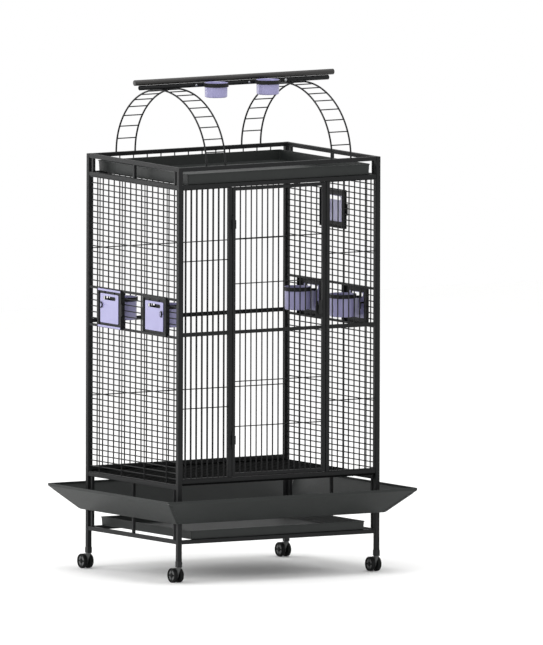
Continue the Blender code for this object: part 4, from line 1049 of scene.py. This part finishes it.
play = {
    "ladderX": 0.252, "ladderWide": 0.076, "rod": 0.003, "rung": 0.002, "gaps": 18, "base": 1.4243, "rise": 0.2361,
    "tubeRadius": 0.008, "tubeHalf": 0.380, "tubeZ": 1.6717, "tubeWall": 0.0026, "plugDeep": 0.006,
    "perchRadius": 0.0098, "perchHalf": 0.400, "perchZ": 1.690, "perchEdge": 0.002,
    "cupX": 0.104, "cupY": -0.0533, "cupRadius": 0.040, "cupHigh": 0.050, "pad": 0.020,
    "screwX": (-0.155, 0.058, 0.204), "screw": (0.0036, 0.0024, 0.0008), "tubeSoft": 0.001, "tubeCore": 0.0005,
    "padLap": 0.002, "padEdge": 0.0008,
}


def makeLadders():
    piece = begin("ladder_arches", coat)
    for x in (-play["ladderX"], play["ladderX"]):
        put(piece, grown(ladder, {
            "Middle": (x, 0.0, play["base"]), "Half Span": cage["postY"], "Rise": play["rise"],
            "Width": play["ladderWide"], "Rod": play["rod"], "Rung": play["rung"], "Gaps": play["gaps"],
            "Sides": cage["barSides"], "Material": coat,
        }))
    fitted(piece, "cage", ["left_ladder", "right_ladder"])


def makeCarrier():  # the tube over the ladders, with the rings that hold the cups
    piece = begin("carrier_tube", coat)
    radius, half, soft, z = play["tubeRadius"], play["tubeHalf"], play["tubeSoft"], play["tubeZ"]
    bore, plug = radius - play["tubeWall"], half - play["plugDeep"]
    tip = [(radius, half - soft), (radius - soft, half), (bore, half), (bore, plug),
           (play["tubeCore"], plug)]
    put(piece, turned(mirrored(tip), 32), upright((0, 0, z), (1, 0, 0)))
    near = play["cupY"] + play["cupRadius"] + ring["wall"] - play["padLap"]
    wide, high = play["pad"] / 2, ring["high"] / 2
    for x in (-play["cupX"], play["cupX"]):
        put(piece, ringBand(play["cupRadius"]), upright((x, play["cupY"], z)))
        end = (x + wide, -radius - cage["seat"], z + high)
        put(piece, smallBlock((x - wide, near, z - high), end, play["padEdge"]))
    addScrews(piece, [(x, -radius, z) for x in play["screwX"]], (0.0, -1.0, 0.0), play["screw"], zinc)
    fitted(piece, "cage", ["support_tube", "left_cup_holder", "right_cup_holder"])


def makePerch():
    piece = begin("perch_dowel", wood)
    radius, half, edge = play["perchRadius"], play["perchHalf"], play["perchEdge"]
    small = edge * 0.3
    tip = [(radius, half - edge), (radius - small, half - small), (radius - edge, half)]
    put(piece, turned(mirrored(tip), 32), upright((0, 0, play["perchZ"]), (1, 0, 0)))
    fitted(piece, "cage", ["perch"])


def makeCups():
    piece = begin("play_cups", lavender)
    z = play["tubeZ"] + ring["high"] / 2 + ring["rise"] - play["cupHigh"] / 2
    for x in (-play["cupX"], play["cupX"]):
        put(piece, vessel(play["cupRadius"], play["cupHigh"]), upright((x, play["cupY"], z)))
    fitted(piece, "cage", ["left_cup", "right_cup"])


makeLadders()
makeCarrier()
makePerch()
makeCups()
print("play top made")


# Casters

caster = {
    "wheel": 0.025, "wide": 0.014, "gap": 0.0051, "edge": 0.003, "web": 0.009, "webRadius": 0.013, "axle": 0.003,
    "axleHole": 0.0034, "trail": 0.020, "collar": 0.009, "collarHigh": 0.004, "stem": 0.005, "stemTop": 0.078,
    "top": 0.0537, "fieldIn": 0.36, "fieldOut": 0.68, "fieldStart": 12, "fieldTurn": 66,
    "fieldDeep": 0.0004, "fieldProud": 0.0006, "fieldEdge": 0.0002, "webEdge": 0.001,
}


def makeFork(name, x, y):
    trail, axleZ, top, web = caster["trail"], caster["wheel"], caster["top"], caster["webRadius"]
    piece = begin(f"{name}_fork_web", greyNylon)
    collar, stem, stemTop, low = caster["collar"], caster["stem"], caster["stemTop"], top - caster["collarHigh"]
    under, half = low + 0.001, caster["web"] / 2
    outline = arc((trail, axleZ), web, -180, 20, 28) + [(trail + 0.002, under), (-web / 2, under)]
    hole = arc((trail, axleZ), caster["axleHole"], 0, 345, 23)
    put(piece, cutPlate(outline, [hole], -half, half, caster["webEdge"]), placed((x, y, 0), (0, 1, 0)))
    profile = [(collar - 0.0008, low), (collar, low + 0.0008), (collar, top - 0.0006), (collar - 0.0006, top),
               (stem, top), (stem, stemTop - 0.001), (stem - 0.001, stemTop)]
    put(piece, turned(profile, 32), Matrix.Translation((x, y, 0)))
    fitted(piece, f"{name}_fork", [f"{name}_caster_fork"])


def makeWheels(name, x, y):
    piece = begin(f"{name}_twin_wheels", rubber)
    radius, wide, edge, axleZ = caster["wheel"], caster["wide"], caster["edge"], caster["wheel"]
    sunk = wide - edge
    section = (  # shares of the radius, and heights from the inner face over the tread to the hub
        (0.30, 0.0004), (0.88, 0.0), (0.94, 0.0004), (0.985, edge * 0.45), (1, edge), (1, sunk),
        (0.985, wide - edge * 0.45), (0.945, wide - edge * 0.1), (0.86, wide), (0.80, wide - 0.0006),
        (0.77, wide - 0.0026), (0.70, sunk), (0.34, sunk), (0.31, wide - edge * 0.5), (0.26, wide - 0.0006),
    )
    profile = [(radius * share, height) for share, height in section] + [(0.0004, wide - 0.0004)]
    for sign in (-1, 1):
        place = upright((x + sign * caster["gap"], y + caster["trail"], axleZ), (sign, 0, 0))
        put(piece, turned(profile), place)
        for quarter in range(4):  # grey fields between four spokes
            start = caster["fieldStart"] + 90 * quarter
            end = start + caster["fieldTurn"]
            outline = arc((0, 0), radius * caster["fieldOut"], start, end, 8)
            outline += arc((0, 0), radius * caster["fieldIn"], end, start, 6)
            low, high = sunk - caster["fieldDeep"], sunk + caster["fieldProud"]
            put(piece, cutPlate(outline, [], low, high, caster["fieldEdge"], 1), place, greyNylon)
    reach = caster["gap"] + wide / 2
    put(piece, rod(caster["axle"], -reach, reach), upright((x, y + caster["trail"], axleZ), (1, 0, 0)))
    fitted(piece, f"{name}_wheels", [f"{name}_caster_wheels"])


for end, y in (("front", -cage["postY"]), ("rear", cage["postY"])):
    for side, x in (("left", -cage["postX"]), ("right", cage["postX"])):
        makeFork(f"{end}_{side}", x, y)
        makeWheels(f"{end}_{side}", x, y)
print("casters made")
